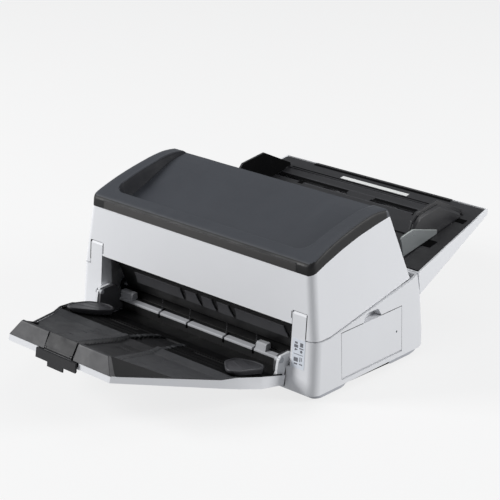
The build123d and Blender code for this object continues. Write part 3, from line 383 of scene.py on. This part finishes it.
def grid_solid(name, rows, material, body, smooth_angle=35.0, extra=None):
    """Closed mesh from rows of (x, y, z_top, z_under) in mm; every row has the same number of columns."""
    bm = bmesh.new()
    top = [[bm.verts.new(P(x, y, zt)) for x, y, zt, zb in r] for r in rows]
    bot = [[bm.verts.new(P(x, y, zb)) for x, y, zt, zb in r] for r in rows]
    n, m = len(rows), len(rows[0])
    for i in range(n - 1):
        for j in range(m - 1):
            bm.faces.new((top[i][j], top[i][j + 1], top[i + 1][j + 1], top[i + 1][j]))
            bm.faces.new((bot[i][j], bot[i + 1][j], bot[i + 1][j + 1], bot[i][j + 1]))
    for i in range(n - 1):
        bm.faces.new((top[i][0], top[i + 1][0], bot[i + 1][0], bot[i][0]))
        bm.faces.new((top[i][m - 1], bot[i][m - 1], bot[i + 1][m - 1], top[i + 1][m - 1]))
    for j in range(m - 1):
        bm.faces.new((top[0][j], bot[0][j], bot[0][j + 1], top[0][j + 1]))
        bm.faces.new((top[n - 1][j], top[n - 1][j + 1], bot[n - 1][j + 1], bot[n - 1][j]))
    bmesh.ops.recalc_face_normals(bm, faces=bm.faces)
    if extra:
        extra(bm)
    ob = new_object(name, bm, material, smooth_angle)
    weighted(ob)
    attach(ob, body)
    return ob


def slab(bm, outline, z0, z1, bevel=0.0, top_bevel=None, mat=0, segments=2):
    """Prism over a plan outline [(x, y)] with z0 and z1 as numbers or functions of (x, y); mm."""
    f0 = z0 if callable(z0) else (lambda x, y: z0)
    f1 = z1 if callable(z1) else (lambda x, y: z1)
    lo_v = [bm.verts.new(P(x, y, f0(x, y))) for x, y in outline]
    hi_v = [bm.verts.new(P(x, y, f1(x, y))) for x, y in outline]
    faces = [bm.faces.new(hi_v), bm.faces.new(list(reversed(lo_v)))]
    n = len(outline)
    for i in range(n):
        k = (i + 1) % n
        faces.append(bm.faces.new((lo_v[i], lo_v[k], hi_v[k], hi_v[i])))
    bmesh.ops.recalc_face_normals(bm, faces=faces)
    for f in faces:
        f.material_index = mat
    if bevel > 0:
        edges = list({e for f in faces for e in f.edges})
        bmesh.ops.bevel(bm, geom=edges, offset=bevel * 0.001, offset_type="OFFSET", segments=segments, profile=0.5,
                        affect="EDGES", clamp_overlap=True)


def finish_piece(name, bm, material, body, smooth_angle=35.0):
    ob = new_object(name, bm, material, smooth_angle)
    weighted(ob)
    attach(ob, body)
    return ob


# output tray: the dark moulded liner
WALL = [(171.2, -4.7), (174.8, -49.9), (164.6, -80.8), (155.7, -100.2), (92.6, -223.7)]
RIM_Z = [(-223.7, 75.0), (-99.0, 47.9), (-80.0, 47.4), (-49.9, 41.1), (-4.7, 27.3)]
DECK_Z = [(-216.0, 72.9), (-100.0, 47.5), (-80.8, 47.2), (-49.9, 40.6), (-1.0, 25.8)]
HALF = [(-223.7, 92.6), (-100.2, 155.7), (-80.8, 164.6), (-49.9, 174.8), (-4.7, 171.2)]


def liner_top(x, y, half):
    """Upper face of the liner."""
    base = 19.2 - 0.2405 * y          # old floor plane, the reference of the ribs
    lip_line = pline(RIM_Z, y)
    deck = pline(DECK_Z, y)
    if y > -80.8:
        z = deck + 0.1
    else:
        z = deck + 0.1
    # step down behind the front deck
    ax = abs(x)
    edge = half - ax
    # front deck y < -80.8 up to the lip; rear zone y > -80.8
    rear = smooth(-81.6, -79.6, y)
    z -= 2.9 * rear * smooth(4.0, 6.0, edge)
    # rails, parallel to the front
    for yc, x0, x1 in ((-66.0, 18, 118), (-56.5, 22, 112), (-36.0, 22, 118)):
        gr = smooth(1.9, 0.9, abs(y - yc)) * smooth(x0 - 1, x0 + 1, ax) * smooth(x1 + 1, x1 - 1, ax)
        z -= 0.9 * gr
    # rear well
    deep = smooth(-31.0, -28.0, y) * smooth(5.0, 8.0, edge)
    z -= 1.6 * deep
    # middle recess, open to the lip and narrowing to the rear
    hw = pline([(-216, 36.0), (-120, 30.0), (-60, 22.0), (-26, 17.0)], y)
    rec = smooth(hw + 0.7, hw - 0.7, ax)
    if y > -34:
        rec *= smooth(-22.0, -27.0, y + 0.0) if y > -27 else 1.0
    z -= pline([(-216, 1.9), (-120, 3.6), (-80, 3.4), (-30, 2.6)], y) * rec * smooth(-22.0, -26.0, y)
    # rib along each edge of the recess
    band = smooth(0.0, 0.9, ax - hw - 1.0) * smooth(9.2, 8.3, ax - hw - 0.4)
    z += 1.8 * band * smooth(-26.0, -29.0, y) * (1 - smooth(-96, -90, y) * 0.4)
    # finger slot across the recess
    if abs(y + 116.0) < 6 and ax < 14:
        z -= 1.0 * smooth(4.0, 2.8, abs(y + 116.0)) * smooth(11.5, 9.5, ax)
    # scale ticks on both sides of the front deck
    if y < -86:
        k = (y + 96.0) / 12.0
        near = abs(k - round(k)) * 12.0
        z -= 0.5 * smooth(0.9, 0.4, near) * smooth(62.0, 64.0, ax) * smooth(74.0, 72.0, ax) * smooth(-90, -94, y) * smooth(-196, -192, y)
    # slots for the two sliding guides
    sl = smooth(2.6, 1.7, abs(y + 44.5)) * smooth(50, 52, ax) * smooth(158, 156, ax)
    z -= 1.3 * sl
    # side flange standing a little proud of the light wall
    fl = smooth(4.6, 3.2, edge)
    z = z * (1 - fl) + (max(lip_line, deck) + 1.3) * fl
    return z


rows = []
ys = []
y = -214.5
while y < -5.6:
    ys.append(y)
    y += 1.6 if y < -126 else (1.0 if y < -20 else 1.5)
ys.append(-5.6)
for y in ys:
    half = pline(HALF, y)
    inner = half - 1.55
    row = []
    cols = [-inner, -inner + 1.4, -inner + 2.2, -inner + 3.0, -inner + 4.2, -inner + 5.6, -inner + 7.0]
    a = inner - 7.0
    core = []
    x = -a
    N = 250
    for k in range(1, N):
        core.append(-a + 2 * a * k / N)
    cols = cols + core + [-c for c in reversed(cols)]
    for x in cols:
        zt = liner_top(x, y, half)
        e = half - abs(x)
        zb = pline(DECK_Z, y) - 5.9
        if e < 3.1:
            zb = max(zb, pline(RIM_Z, y) - 4.0) if e < 1.7 else zb
        if abs(x) < 38:
            zb = max(zb, 17.6 - 0.2405 * y)
        row.append((x, y, zt, min(zb, zt - 0.9)))
    rows.append(row)
# painted shade: a darker copy of the tray plastic for the floor of the middle recess
M_RECESS_SHADE = plastic("mat_tray_recess_painted_shade", (20, 20, 22), rough=0.5, grain=1000, bump=0.14, var=0.08, wear=0.3, wear_rgb=(88, 88, 91), spec=0.28)
M_TRAY_REAR = plastic("mat_tray_rear", (7, 7, 8), rough=0.66, grain=1000, bump=0.14, var=0.08, wear=0.1, wear_rgb=(40, 40, 42), spec=0.10)
M_DECK = plastic("mat_tray_deck", (36, 37, 40), rough=0.48, grain=1000, bump=0.16, var=0.08, wear=0.3, wear_rgb=(96, 96, 99), spec=0.45)
M_PAD = plastic("mat_pad", (62, 62, 65), rough=0.42, grain=1100, bump=0.12, var=0.07, wear=0.35, wear_rgb=(116, 116, 120), spec=0.5)
M_TAB = plastic("mat_mouth_tab", (74, 74, 77), rough=0.45, grain=1100, bump=0.1, var=0.08, wear=0.3, wear_rgb=(86, 86, 90), spec=0.5)
M_CHEEK = plastic("mat_cheek", (20, 20, 22), rough=0.5, grain=900, bump=0.16, var=0.08, wear=0.3, wear_rgb=(90, 90, 93), spec=0.34)


def tray_zones_and_painted_light(bm):
    for f in bm.faces:
        c = f.calc_center_median()
        yy = c.y * 1000 + YM
        ax = abs(c.x) * 1000
        hw = pline([(-216, 36.0), (-120, 30.0), (-60, 22.0), (-26, 17.0)], yy)
        if yy > -80.9:
            f.material_index = 1
        # painted shade: the recess floor takes the darker recess colour
        if ax < hw - 0.4 and -213 < yy < -24 and f.normal.z > 0:
            f.material_index = 2
        # painted highlight: the rib band along the recess keeps the lighter deck colour, also inside the darker rear
        # zone
        elif hw + 0.8 < ax < hw + 9.3 and -212 < yy < -28 and f.normal.z > 0:
            f.material_index = 0


def liner_extra(bm):
    tray_zones_and_painted_light(bm)


grid_solid("stacker_liner", rows, [M_DECK, M_TRAY_REAR, M_RECESS_SHADE], "stacker", 32.0, liner_extra)
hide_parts("stacker_tray")



def end_prism(bm, profile, xa, xb, bevel=0.5, segments=2, mat=0):
    """Prism with a (y, z) profile between xa(z) and xb(z), mm."""
    fa = xa if callable(xa) else (lambda z: xa)
    fb = xb if callable(xb) else (lambda z: xb)
    va = [bm.verts.new(P(fa(z), y, z)) for y, z in profile]
    vb = [bm.verts.new(P(fb(z), y, z)) for y, z in profile]
    faces = [bm.faces.new(va), bm.faces.new(list(reversed(vb)))]
    n = len(profile)
    for i in range(n):
        k = (i + 1) % n
        faces.append(bm.faces.new((va[i], vb[i], vb[k], va[k])))
    bmesh.ops.recalc_face_normals(bm, faces=faces)
    for f in faces:
        f.material_index = mat
    if bevel > 0:
        bmesh.ops.bevel(bm, geom=list({e for f in faces for e in f.edges}), offset=bevel * 0.001, offset_type="OFFSET",
                        segments=segments, profile=0.5, affect="EDGES", clamp_overlap=True)


def plate3(bm, pts, thick, bevel=0.4, mat=0):
    """Plate under a flat polygon of 3-D points (mm); thick is a vector in mm."""
    t = Vector(thick) * 0.001
    a = [bm.verts.new(P(*p)) for p in pts]
    b = [bm.verts.new(P(*p) + t) for p in pts]
    faces = [bm.faces.new(a), bm.faces.new(list(reversed(b)))]
    n = len(pts)
    for i in range(n):
        k = (i + 1) % n
        faces.append(bm.faces.new((a[i], b[i], b[k], a[k])))
    bmesh.ops.recalc_face_normals(bm, faces=faces)
    for f in faces:
        f.material_index = mat
    if bevel > 0:
        bmesh.ops.bevel(bm, geom=list({e for f in faces for e in f.edges}), offset=bevel * 0.001, offset_type="OFFSET",
                        segments=2, profile=0.5, affect="EDGES", clamp_overlap=True)


# upright lip halves with their sloping ends, and the triangular cheeks beside them
LIP = [(-217.6, 71.0), (-217.6, 74.6), (-222.6, 75.2), (-213.2, 92.6), (-212.2, 94.1), (-208.9, 94.1), (-208.6, 91.6), (-214.2, 77.4), (-214.2, 71.0)]
bm = bmesh.new()
for s in (-1, 1):
    end_prism(bm, LIP, lambda z, s=s: s * (26.4 + (z - 75) * 0.04), lambda z, s=s: s * (92.6 - (z - 75) * 0.71 * (1 if z > 75 else 0.2)), 0.55)
    for k, x in enumerate((38.0, 62.0)):
        end_prism(bm, [(-214.6, 72.0), (-210.4, 84.0), (-209.8, 84.0), (-203.0, 70.4)], s * x - 0.8, s * x + 0.8, 0.2, 1)
    plate3(bm, [(s * 90.9, -217.4, 71.4), (s * 78.6, -211.2, 93.8), (s * 76.8, -209.2, 93.4), (s * 124.0, -150.0, 58.9)], (-s * 1.9, 1.0, -0.4), 0.35, 1)
finish_piece("stacker_lip_halves", bm, [M_LIP, M_CHEEK], "stacker", 40)

# sliding guides of the output tray: thin plates with a raised rounded rim and two engraved lines
PAD_Z = [(-90, 54.6), (-78, 52.4), (-60, 49.4), (-46, 46.4), (-30, 42.4), (-10, 36.5), (0, 33.0)]
PAD = [(152, -79), (158, -66), (159.5, -40), (158.5, -28), (148, -14), (128, -14), (113, -30), (118, -56), (142, -79)]


def rounded(poly, r, n=5):
    out = []
    m = len(poly)
    for i in range(m):
        p0, p1, p2 = Vector(poly[i - 1]), Vector(poly[i]), Vector(poly[(i + 1) % m])
        a, b = (p0 - p1), (p2 - p1)
        ra = min(r, a.length * 0.45)
        rb = min(r, b.length * 0.45)
        pa, pb = p1 + a.normalized() * ra, p1 + b.normalized() * rb
        for k in range(n + 1):
            t = k / n
            q = pa * (1 - t) ** 2 + p1 * 2 * t * (1 - t) + pb * t ** 2
            out.append((q.x, q.y))
    return out


def resample(poly, step):
    out = []
    m = len(poly)
    for i in range(m):
        a, b = Vector(poly[i]), Vector(poly[(i + 1) % m])
        k = max(1, int((b - a).length / step))
        for j in range(k):
            q = a + (b - a) * j / k
            out.append((q.x, q.y))
    return out


for nm, s in (("left", -1), ("right", 1)):
    ring0 = resample(rounded(PAD, 7), 1.5)
    cx, cy = 139.0, -45.0
    radii = [1.0, 1.0, 0.985, 0.955, 0.925, 0.905, 0.885] + [0.885 * (1 - k / 15.0) for k in range(1, 15)]
    lift = [-3.0, -0.8, -0.15, 0.0, -0.2, -0.9, -1.2] + [-1.2] * 14
    bm = bmesh.new()
    rings = []
    for rr, dz in zip(radii, lift):
        ring = []
        for x, y in ring0:
            qx, qy = cx + (x - cx) * rr, cy + (y - cy) * rr
            z = pline(PAD_Z, qy) + dz
            if rr < 0.86:
                for off in (-6.0, 9.0):
                    u = (qx - cx) * 0.42 + (qy - cy) * 0.91 - off
                    z += 0.55 * smooth(1.3, 0.6, abs(u)) * smooth(17, 15, abs(qx - cx))
            ring.append(bm.verts.new(P(s * qx, qy, z)))
        rings.append(ring)
    low = [bm.verts.new(P(s * (cx + (x - cx) * 0.9), cy + (y - cy) * 0.9, pline(DECK_Z, cy + (y - cy) * 0.9) - (1.1 if cy + (y - cy) * 0.9 < -31 else 2.0))) for x, y in ring0]
    n = len(ring0)
    chain = [low] + rings
    for a, b in zip(chain, chain[1:]):
        for i in range(n):
            k = (i + 1) % n
            bm.faces.new((a[i], a[k], b[k], b[i]))
    bm.faces.new(rings[-1])
    bm.faces.new(list(reversed(low)))
    bmesh.ops.recalc_face_normals(bm, faces=bm.faces)
    slab(bm, [(s * 129, -45.1), (s * 147, -45.1), (s * 147, -42.7), (s * 129, -42.7)], 36.4, 39.6, 0.3, segments=1)
    ob = finish_piece("stacker_pad_" + nm, bm, M_PAD, "stacker_guide_" + nm[0], 42)
    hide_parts("stacker_guide_" + nm)

# strip under the mouth: light top, dark front
src = NODES["exit_strip"]
bm = bmesh.new()
bm.from_mesh(src.data)
bmesh.ops.remove_doubles(bm, verts=bm.verts, dist=2e-6)
bmesh.ops.dissolve_limit(bm, angle_limit=math.radians(0.6), verts=bm.verts, edges=bm.edges, use_dissolve_boundaries=False)
sharp = [e for e in bm.edges if len(e.link_faces) == 2 and e.calc_face_angle(0) > math.radians(28)]
bmesh.ops.bevel(bm, geom=sharp, offset=0.0005, offset_type="OFFSET", segments=2, profile=0.5, affect="EDGES", clamp_overlap=True)
bmesh.ops.bisect_plane(bm, geom=list(bm.verts) + list(bm.edges) + list(bm.faces), plane_co=P(0, 30, 24.4), plane_no=(0, 0, 1))
bmesh.ops.bisect_plane(bm, geom=list(bm.verts) + list(bm.edges) + list(bm.faces), plane_co=P(0, 37.6, 24.4), plane_no=(0, 1, 0))
for f in bm.faces:
    c = f.calc_center_median()
    f.material_index = 1 if c.z < 0.0244 or (c.y * 1000 + YM > 37.6 and c.z < 0.0298) else 0
ob = new_object("exit_strip_two_tone", bm, [M_STRIP, M_INNER], 40)
weighted(ob)
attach(ob, "base")
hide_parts("exit_strip")

# row of tabs hanging in the mouth, on the upper unit
bm = bmesh.new()
for a0, a1, b0, b1 in ((-139.5, -137.0, -48.2, -49.2), (-43.8, -40.2, -15.6, -19.0), (-12.3, -9.7, 12.3, 9.7), (15.6, 19.0, 43.8, 40.2), (48.2, 51.4, 139.5, 137.0)):
    zb, zt = 54.3, 72.0
    yb, yt = 41.9 - 1.9, 41.9 - 0.4196 * 17.7 - 1.9
    plate3(bm, [(a0, yb, zb), (b0, yb, zb), (b1, yb + (yt - yb) * 0.64, 65.6), (b1, yt, zt), (a1, yt, zt), (a1, yb + (yt - yb) * 0.64, 65.6)], (0, 1.5, 0.5), 0.35)
finish_piece("mouth_tabs", bm, M_TAB, "cover", 40)

# top cover, moulded smooth
EDGE = [(12.64, 160), (24, 164.6), (40.4, 170.3), (71.1, 179.5), (105.8, 187.9), (140.6, 193.8), (168.75, 197.8)]
RIMT = [(13.6, 172.2), (18, 176.6), (30, 182.0), (42.8, 186.8), (58, 191.9), (73.5, 196.3), (89, 200.2), (104.4, 203.6), (118, 206.5), (132.3, 208.6), (140, 209.4), (148, 209.6), (157, 209.0), (164.8, 208.0), (172, 206.9)]
DISH_HI = [(30, 164.8), (37, 166.0), (47, 167.3), (58, 169.9), (70, 173.7), (82, 178.2), (97, 184.9), (113, 192.1), (130, 199.0), (145, 203.6), (158, 205.7), (172, 206.9)]
DISH_LO = [(30, 164.8), (37, 166.0), (47, 167.4), (58, 169.9), (84, 178.3), (110, 187.6), (125, 193.2), (140, 198.6), (156, 203.6), (165, 205.8), (172, 207.0)]


def soft_line(pts, v, w=5.0):
    return sum(pline(pts, v + w * k / 3.0) * c for k, c in zip((-3, -2, -1, 0, 1, 2, 3), (1, 3, 6, 8, 6, 3, 1))) / 28.0


def cover_top(x, y):
    rim = soft_line(RIMT, y, 3.0)
    ax = abs(x)
    hi_z = soft_line(DISH_HI, y)
    lo_z = soft_line(DISH_LO, y)
    t = smooth(98, 127, ax)
    dish = lo_z * (1 - t) + hi_z * t
    r = 15.0
    dx, dy = ax - (169.0 - r), (34.6 + r) - y
    if dx > 0 and dy > 0:
        d = math.hypot(dx, dy) - r
    else:
        d = max(dx, dy) - r
    wall = smooth(-3.0, 3.0, d)
    z = dish * (1 - wall) + rim * wall
    lip_r = smooth(3.0, 5.4, d) * smooth(8.4, 5.6, d)
    z = z + 0.25 * lip_r
    return z


rows = []
ys = [13.3, 13.9, 14.8, 16.2, 18.0, 19.2, 19.45, 21.5, 24, 27, 29, 30.5, 31.5] + [32 + 0.5 * k for k in range(0, 14)] + [40 + 1.5 * k for k in range(0, 85)] + [167.2]
for i, y in enumerate(ys):
    row = []
    xs = [0]
    a = 0.0
    cols = [4.0 * k for k in range(0, 24)] + [95 + 2.2 * k for k in range(1, 16)] + [131 + 3 * k for k in range(0, 7)] + [151 + 0.75 * k for k in range(0, 36)] + [179, 182, 184.5]
    cols = sorted(set(round(c, 2) for c in cols))
    full = [-c for c in reversed(cols) if c > 0] + cols
    ze = pline(EDGE, y)
    line = []
    for x in full:
        zt = cover_top(x, y)
        line.append((x, zt))
    # rounded outer shoulder
    rim = cover_top(185, y)
    rr = 4.2
    q = 11.0 - (y - 12.6)
    corner = 11.0 - math.sqrt(121.0 - q * q) if q > 0 else 0.0
    sh = []
    for ang in (12, 30, 48, 66, 84):
        th = math.radians(ang)
        zz = rim - rr + rr * math.cos(th)
        xx = 223.3 - 0.142 * zz - rr + rr * math.sin(th)
        sh.append((xx - corner, zz))
    sh.append((223.3 - 0.142 * (rim - rr - 2) - corner, rim - rr - 2))
    prof = [(-a0, b0) for a0, b0 in reversed(sh)] + line + sh
    for x, zt in prof:
        yt = y
        if i == 0:
            zt -= 2.2
        elif i == 1:
            zt -= 0.9
        elif i == 2:
            zt -= 0.25
        ax = abs(x)
        xb = x
        zb = ze + 0.05
        if ax > 187:
            xb = math.copysign(223.3 - 0.142 * zb - corner, x) if ax > 223.3 - 0.142 * rim - corner - 0.6 else x
        if y < 19.3 and ax < 174.0:
            zb = 171.5
        if ax < 172 and y > 30:
            zb = min(zb, zt - 2.4)
        yb = y
        if i == len(ys) - 1:
            yt = 168.75 - 0.329 * (zt - 197.8)
            yb = 168.75 - 0.329 * (zb - 197.8)
        if i == len(ys) - 2:
            pass
        zt = max(zt, zb + 0.6)
        row.append((x, yt, zt, xb, yb, zb))
    rows.append(row)


def grid_solid2(name, rows, material, body, smooth_angle=35.0):
    bm = bmesh.new()
    top = [[bm.verts.new(P(r[0], r[1], r[2])) for r in q] for q in rows]
    bot = [[bm.verts.new(P(r[3], r[4], r[5])) for r in q] for q in rows]
    n, m = len(rows), len(rows[0])
    for i in range(n - 1):
        for j in range(m - 1):
            bm.faces.new((top[i][j], top[i][j + 1], top[i + 1][j + 1], top[i + 1][j]))
            bm.faces.new((bot[i][j], bot[i + 1][j], bot[i + 1][j + 1], bot[i][j + 1]))
        bm.faces.new((top[i][0], top[i + 1][0], bot[i + 1][0], bot[i][0]))
        bm.faces.new((top[i][m - 1], bot[i][m - 1], bot[i + 1][m - 1], top[i + 1][m - 1]))
    for j in range(m - 1):
        bm.faces.new((top[0][j], bot[0][j], bot[0][j + 1], top[0][j + 1]))
        bm.faces.new((top[n - 1][j], top[n - 1][j + 1], bot[n - 1][j + 1], bot[n - 1][j]))
    bmesh.ops.remove_doubles(bm, verts=bm.verts, dist=1e-6)
    bmesh.ops.recalc_face_normals(bm, faces=bm.faces)
    bm.normal_update()
    for f in bm.faces:
        c = f.calc_center_median()
        out = abs(c.x) > 0.187 or c.y * 1000 + YM < 22
        f.material_index = 1 if out and f.normal.z < 0.72 and (c.y * 1000 + YM) < 163 else 0
        # painted shade: the left wall of the dish, facing the middle, gets a darker, rougher copy of the charcoal
        if -0.182 < c.x < -0.14 and f.normal.z > 0 and f.normal.x > 0.10:
            f.material_index = 2
    ob = new_object(name, bm, material, smooth_angle)
    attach(ob, body)
    return ob


# painted shade for the left wall of the dish
M_TOP_WALL_SHADE = plastic("mat_top_left_wall_painted_shade", (36, 37, 41), rough=0.62, grain=1000, bump=0.16, var=0.05, wear=0.1, wear_rgb=(90, 92, 98), spec=0.15)
ob = grid_solid2("top_cover_moulded", rows, [M_TOP, M_RIM, M_TOP_WALL_SHADE], "cover", 40)
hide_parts("top_cover")


# chute: black plates painted as the shade in the wide slots and the pockets by the rim, and lighter strips painted as
# the highlight along the long grooves
def deck_z(y):
    return 113.0 + 0.173 * (y - 211.0)


# painted highlight: a lighter copy of the hopper plastic for the strips along the chute grooves
M_RIDGE_HIGHLIGHT = plastic("mat_chute_ridge_painted_highlight", (50, 50, 54), rough=0.4, grain=900, bump=0.15, var=0.08, wear=0.3, wear_rgb=(96, 96, 100), spec=0.5)


def deck_plate(bm, x0, x1, y0, y1, up=0.12, down=0.7, bevel=0.1, mat=0, dz=0.0):
    slab(bm, [(x0, y0), (x1, y0), (x1, y1), (x0, y1)], lambda x, y: deck_z(y) - down + dz, lambda x, y: deck_z(y) + up + dz, bevel, mat=mat, segments=1)


DZ = -1.45
# painted shade: near-black plates lying on the deck in place of the open slots and pockets
bm = bmesh.new()
for s in (-1, 1):
    xs0, xs1 = sorted((s * 24.5, s * 156.0))
    deck_plate(bm, xs0, xs1, 348.6, 354.8, up=0.08, dz=DZ)
    for xa, xb, ya, yb in ((168.5, 182.5, 273.5, 291.0), (167.0, 181.0, 350.0, 360.0)):
        xs0, xs1 = sorted((s * xa, s * xb))
        deck_plate(bm, xs0, xs1, ya, yb, dz=0.0 if xa > 172 else 0.0, down=2.0)
    xs0, xs1 = sorted((s * 101.0, s * 110.0))
    deck_plate(bm, xs0, xs1, 338.5, 345.0, dz=DZ)
deck_plate(bm, -126.0, 126.0, 393.6, 398.6, dz=-0.25)
deck_plate(bm, -152.0, 152.0, 374.6, 375.8, dz=0.0, down=2.0)
finish_piece("chute_slots_painted_shade", bm, M_BLACK_JOINTS_AND_SHADE, "base", 40)
# painted highlight: lighter strips along the grooves of the chute
bm = bmesh.new()
for y0, y1, xe in ((356.2, 357.4, 156.0), (341.4, 342.5, 156.0), (369.8, 370.8, 156.0)):
    deck_plate(bm, -xe, xe, y0, y1, up=0.08, dz=DZ, bevel=0.05)
finish_piece("chute_ridges_painted_highlight", bm, M_RIDGE_HIGHLIGHT, "base", 40)

# label pictograms: plain generic shapes
def front_plate(bm, pts, off=0.0, thick=0.3, bevel=0.05):
    plate3(bm, [(x, 0.0789 * z - off, z) for x, z in pts], (0, thick, 0), bevel)


def circle_pts(cx, cz, r, n=20, a0=0.0, a1=360.0):
    return [(cx + r * math.cos(math.radians(a0 + (a1 - a0) * k / n)), cz + r * math.sin(math.radians(a0 + (a1 - a0) * k / n))) for k in range(n)]


lab = NODES["instruction_label"]
lb = [lab.matrix_world @ v.co for v in lab.data.vertices]
lab_x = [min(v.x for v in lb) * 1000, max(v.x for v in lb) * 1000]
lab_z = [min(v.z for v in lb) * 1000, max(v.z for v in lb) * 1000]
lab_off = max(0.0789 * v.z * 1000 - (v.y * 1000 + YM) for v in lb) + 0.12
LX = lambda u: lab_x[0] + (lab_x[1] - lab_x[0]) * u
LZ = lambda v: lab_z[0] + (lab_z[1] - lab_z[0]) * v
bm = bmesh.new()
for u0, v0, u1, v1 in ((0.14, 0.70, 0.44, 0.80), (0.18, 0.83, 0.40, 0.90), (0.56, 0.68, 0.88, 0.72), (0.60, 0.76, 0.84, 0.90), (0.12, 0.47, 0.88, 0.49),
                       (0.16, 0.22, 0.50, 0.36), (0.20, 0.12, 0.46, 0.17), (0.60, 0.14, 0.86, 0.18), (0.62, 0.24, 0.68, 0.40), (0.74, 0.28, 0.80, 0.40)):
    front_plate(bm, [(LX(u0), LZ(v0)), (LX(u1), LZ(v0)), (LX(u1), LZ(v1)), (LX(u0), LZ(v1))], lab_off, 0.25)
front_plate(bm, [(LX(0.20), LZ(0.58)), (LX(0.44), LZ(0.64)), (LX(0.20), LZ(0.68))], lab_off, 0.25)
front_plate(bm, circle_pts(LX(0.72), LZ(0.60), 1.9), lab_off, 0.25)
finish_piece("label_pictograms", bm, M_PRINT, "base", 40)

# seams of the front pillars
bm = bmesh.new()
for x0, x1, z0, z1 in ((171.4, 172.4, 101.5, 110.6), (196.4, 197.4, 80.0, 111.2), (-197.4, -196.4, 84.0, 111.2), (-172.4, -171.4, 97.0, 111.6)):
    front_plate(bm, [(x0, z0), (x1, z0), (x1, z1), (x0, z1)], 0.12, 0.9)
finish_piece("pillar_seams", bm, M_BLACK_JOINTS_AND_SHADE, "base", 40)


# dark gap round the operator panel, on the casing
bm = bmesh.new()


def flank(y, z, off):
    return (216.0 - 0.036 * z - off, y, z)


for ya, za, yb, zb in ((55.02, 77.0, 98.4, 77.0), (134.6, 77.0, 176.98, 77.0)):
    plate3(bm, [flank(ya, za + 0.05, 0.35), flank(yb, zb + 0.05, 0.35), flank(yb, zb + 0.95, 0.35), flank(ya, za + 0.95, 0.35)], (-1.0, 0, 0), 0.0)
for ya in (55.03, 176.45):
    plate3(bm, [flank(ya, 16.0, 0.35), flank(ya + 0.52, 16.0, 0.35), flank(ya + 0.52, 77.9, 0.35), flank(ya, 77.9, 0.35)], (-1.0, 0, 0), 0.0)
finish_piece("panel_gap", bm, M_BLACK_JOINTS_AND_SHADE, "base", 40)

# dark cap on the tray wall under the stopper
bm = bmesh.new()
slab(bm, [(-24.6, -223.95), (24.6, -223.95), (24.6, -221.4), (-24.6, -221.4)], 74.3, 75.7, 0.25, segments=1)
finish_piece("stacker_wall_cap", bm, M_LIP, "stacker", 40)

# ------------------------------------------------------------------ floor, light
bpy.ops.mesh.primitive_plane_add(size=14.0, location=(0, 0, -0.0002))
floor = bpy.context.object
floor.name = "floor"
fm = bpy.data.materials.new("mat_floor")
fm.use_nodes = True
fb = fm.node_tree.nodes["Principled BSDF"]
fb.inputs["Base Color"].default_value = (0.16, 0.16, 0.16, 1)
fb.inputs["Emission Color"].default_value = (1, 1, 1, 1)
fb.inputs["Emission Strength"].default_value = 0.755
fb.inputs["Roughness"].default_value = 0.95
fb.inputs["Specular IOR Level"].default_value = 0.1
floor.data.materials.append(fm)
floor.visible_diffuse = False

world = bpy.data.worlds.new("world")
SC.world = world
world.use_nodes = True
bg = world.node_tree.nodes["Background"]
bg.inputs["Color"].default_value = (0.95, 0.97, 1.0, 1)
bg.inputs["Strength"].default_value = 0.33


def area(name, loc, target, size, power, size_y=None, color=(1, 1, 1)):
    ld = bpy.data.lights.new(name, "AREA")
    ld.energy = power
    ld.size = size
    ld.color = color
    if size_y:
        ld.shape = "RECTANGLE"
        ld.size_y = size_y
    lo = bpy.data.objects.new(name, ld)
    SC.collection.objects.link(lo)
    lo.location = loc
    d = Vector(target) - Vector(loc)
    lo.rotation_euler = d.to_track_quat("-Z", "Y").to_euler()
    return lo


area("soft_left", (-2.3, -2.2, 1.7), (0, -0.05, 0.1), 1.3, 112)
area("soft_right", (2.4, 1.7, 1.3), (0, 0.05, 0.1), 1.3, 66)
area("top", (-0.2, 0.9, 2.6), (0, 0, 0.1), 1.6, 7)
